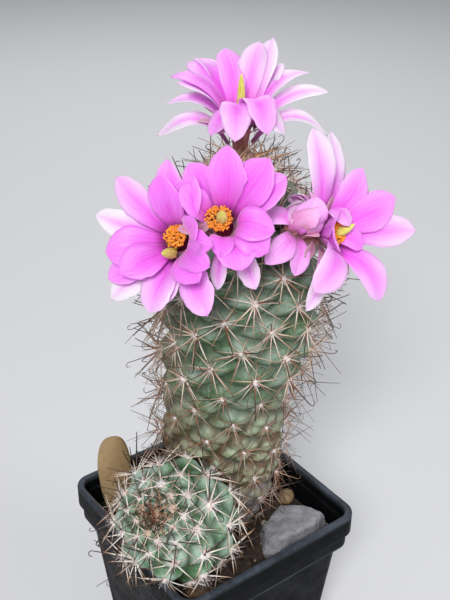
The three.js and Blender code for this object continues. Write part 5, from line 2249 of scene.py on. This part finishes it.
OFFSET_CENTRALS = {
    Age.OLD: SpineKind((1, 2), (8, 11), (10, 50), (0.7, 1), 0.6),
    Age.GROWN: SpineKind((4, 5), (10, 16), (30, 68), (0.9, 1), 0.4, thick=1.05),
    Age.YOUNG: SpineKind((5, 7), (6.5, 9), (15, 60), (0.75, 1), 0.9, warm=0.9, thick=1.2, shrink=0.25),
}


def build_pot_and_soil(kit: Kit) -> BVHTree:
    """Builds the pot, the peat and the stones.

    Args:
        kit: the geometry trees.

    Returns:
        A search tree of the pot's wall.
    """
    rim = Pot().build()
    Soil().build(kit.blobs)
    GreyStone().build()
    for pebble in PEBBLES:
        pebble.build()
    return rim


def build_blooms(kit: Kit) -> list[BVHTree]:
    """Builds the five flowers.

    Args:
        kit: the geometry trees.

    Returns:
        A search tree of each corolla.
    """
    corollas = [bloom.draw() for bloom in (*BLOOMS, CLOSED_BLOOM)]
    silk = FRESH_PETAL.material()
    for bloom in BLOOMS:
        bloom.build("petal", silk)
    CLOSED_BLOOM.build("faded_petal", FADED_PETAL.material())
    anther = POLLEN.material()
    thread = FILAMENT.material()
    green = STIGMA_GREEN.material()
    for bloom in BLOOMS:
        bloom.build_inside(kit, thread, anther, green)
    return corollas


def build_stems(kit: Kit, obstacles: list[BVHTree]) -> None:
    """Builds both stems with their wool and spines.

    Args:
        kit: the geometry trees.
        obstacles: what the spines may not cross.
    """
    main_stem = Stem(
        "column",
        SpiralSkin(STEM_OUTLINE, STEM_AREA, column_place),
        stem_centre(STEM_ROOT) + Vector((0, 0, STEM_ROOT)),
        stem_centre(STEM_SUMMIT) + Vector((0, 0, STEM_SUMMIT)),
        pressed_by_offset,
        COLUMN_SKIN,
        126,
    )
    lean = Vector((0, 0, 1)).rotation_difference(OFFSET_AXIS)
    lifts = [radians(lift) for lift in OFFSET_LATITUDES]
    latitudes = [(math.cos(lift) * OFFSET_RADIUS, math.sin(lift) * OFFSET_RADIUS) for lift in lifts]
    offset_stem = Stem(
        "young_offset",
        SpiralSkin(latitudes, OFFSET_AREA, lambda p: lean @ p + OFFSET_CENTRE),
        OFFSET_CENTRE - OFFSET_AXIS * (OFFSET_RADIUS - 1.5),
        OFFSET_CENTRE + OFFSET_AXIS * (OFFSET_RADIUS + 1),
        clear_of_wall,
        OFFSET_SKIN,
    )
    column = main_stem.build("main_stem", "stem_flesh")
    young = offset_stem.build("offset_stem", "offset_flesh")
    horn = SpineFinish().material()
    wool = WoolFinish().material()
    column_coat = SpineCoat(
        main_stem,
        "main_stem",
        "stem_flesh",
        seed=21,
        radials=COLUMN_RADIALS,
        centrals=COLUMN_CENTRALS,
        wool={Age.OLD: 0.75, Age.GROWN: 1.1, Age.YOUNG: 1.2},
        bare_below=0.05,
        old_below=0.4,
        young_above=0.88,
    )
    column_coat.build(kit, horn, wool, [*obstacles, young])
    offset_coat = SpineCoat(
        offset_stem,
        "offset_stem",
        "offset_flesh",
        seed=31,
        radials=OFFSET_RADIALS,
        centrals=OFFSET_CENTRALS,
        wool={Age.OLD: 1.0, Age.GROWN: 1.6, Age.YOUNG: 1.1},
        bare_below=0.0,
        old_below=0.02,
        young_above=0.8,
    )
    offset_coat.build(kit, horn, wool, [*obstacles, column])


def write_sizes() -> None:
    """Logs a closing line."""
    LOG.info("sizes written")


def main() -> None:
    """Builds every piece in order and reports it."""
    logging.basicConfig(level=logging.INFO, format="%(name)s: %(message)s")
    bpy.context.scene.view_settings.view_transform = "Standard"
    Studio().build()
    kit = Kit(stalk_tree(), blob_tree())
    rim = build_pot_and_soil(kit)
    corollas = build_blooms(kit)
    build_stems(kit, [*corollas, rim])
    write_sizes()


if __name__ == "__main__":
    main()
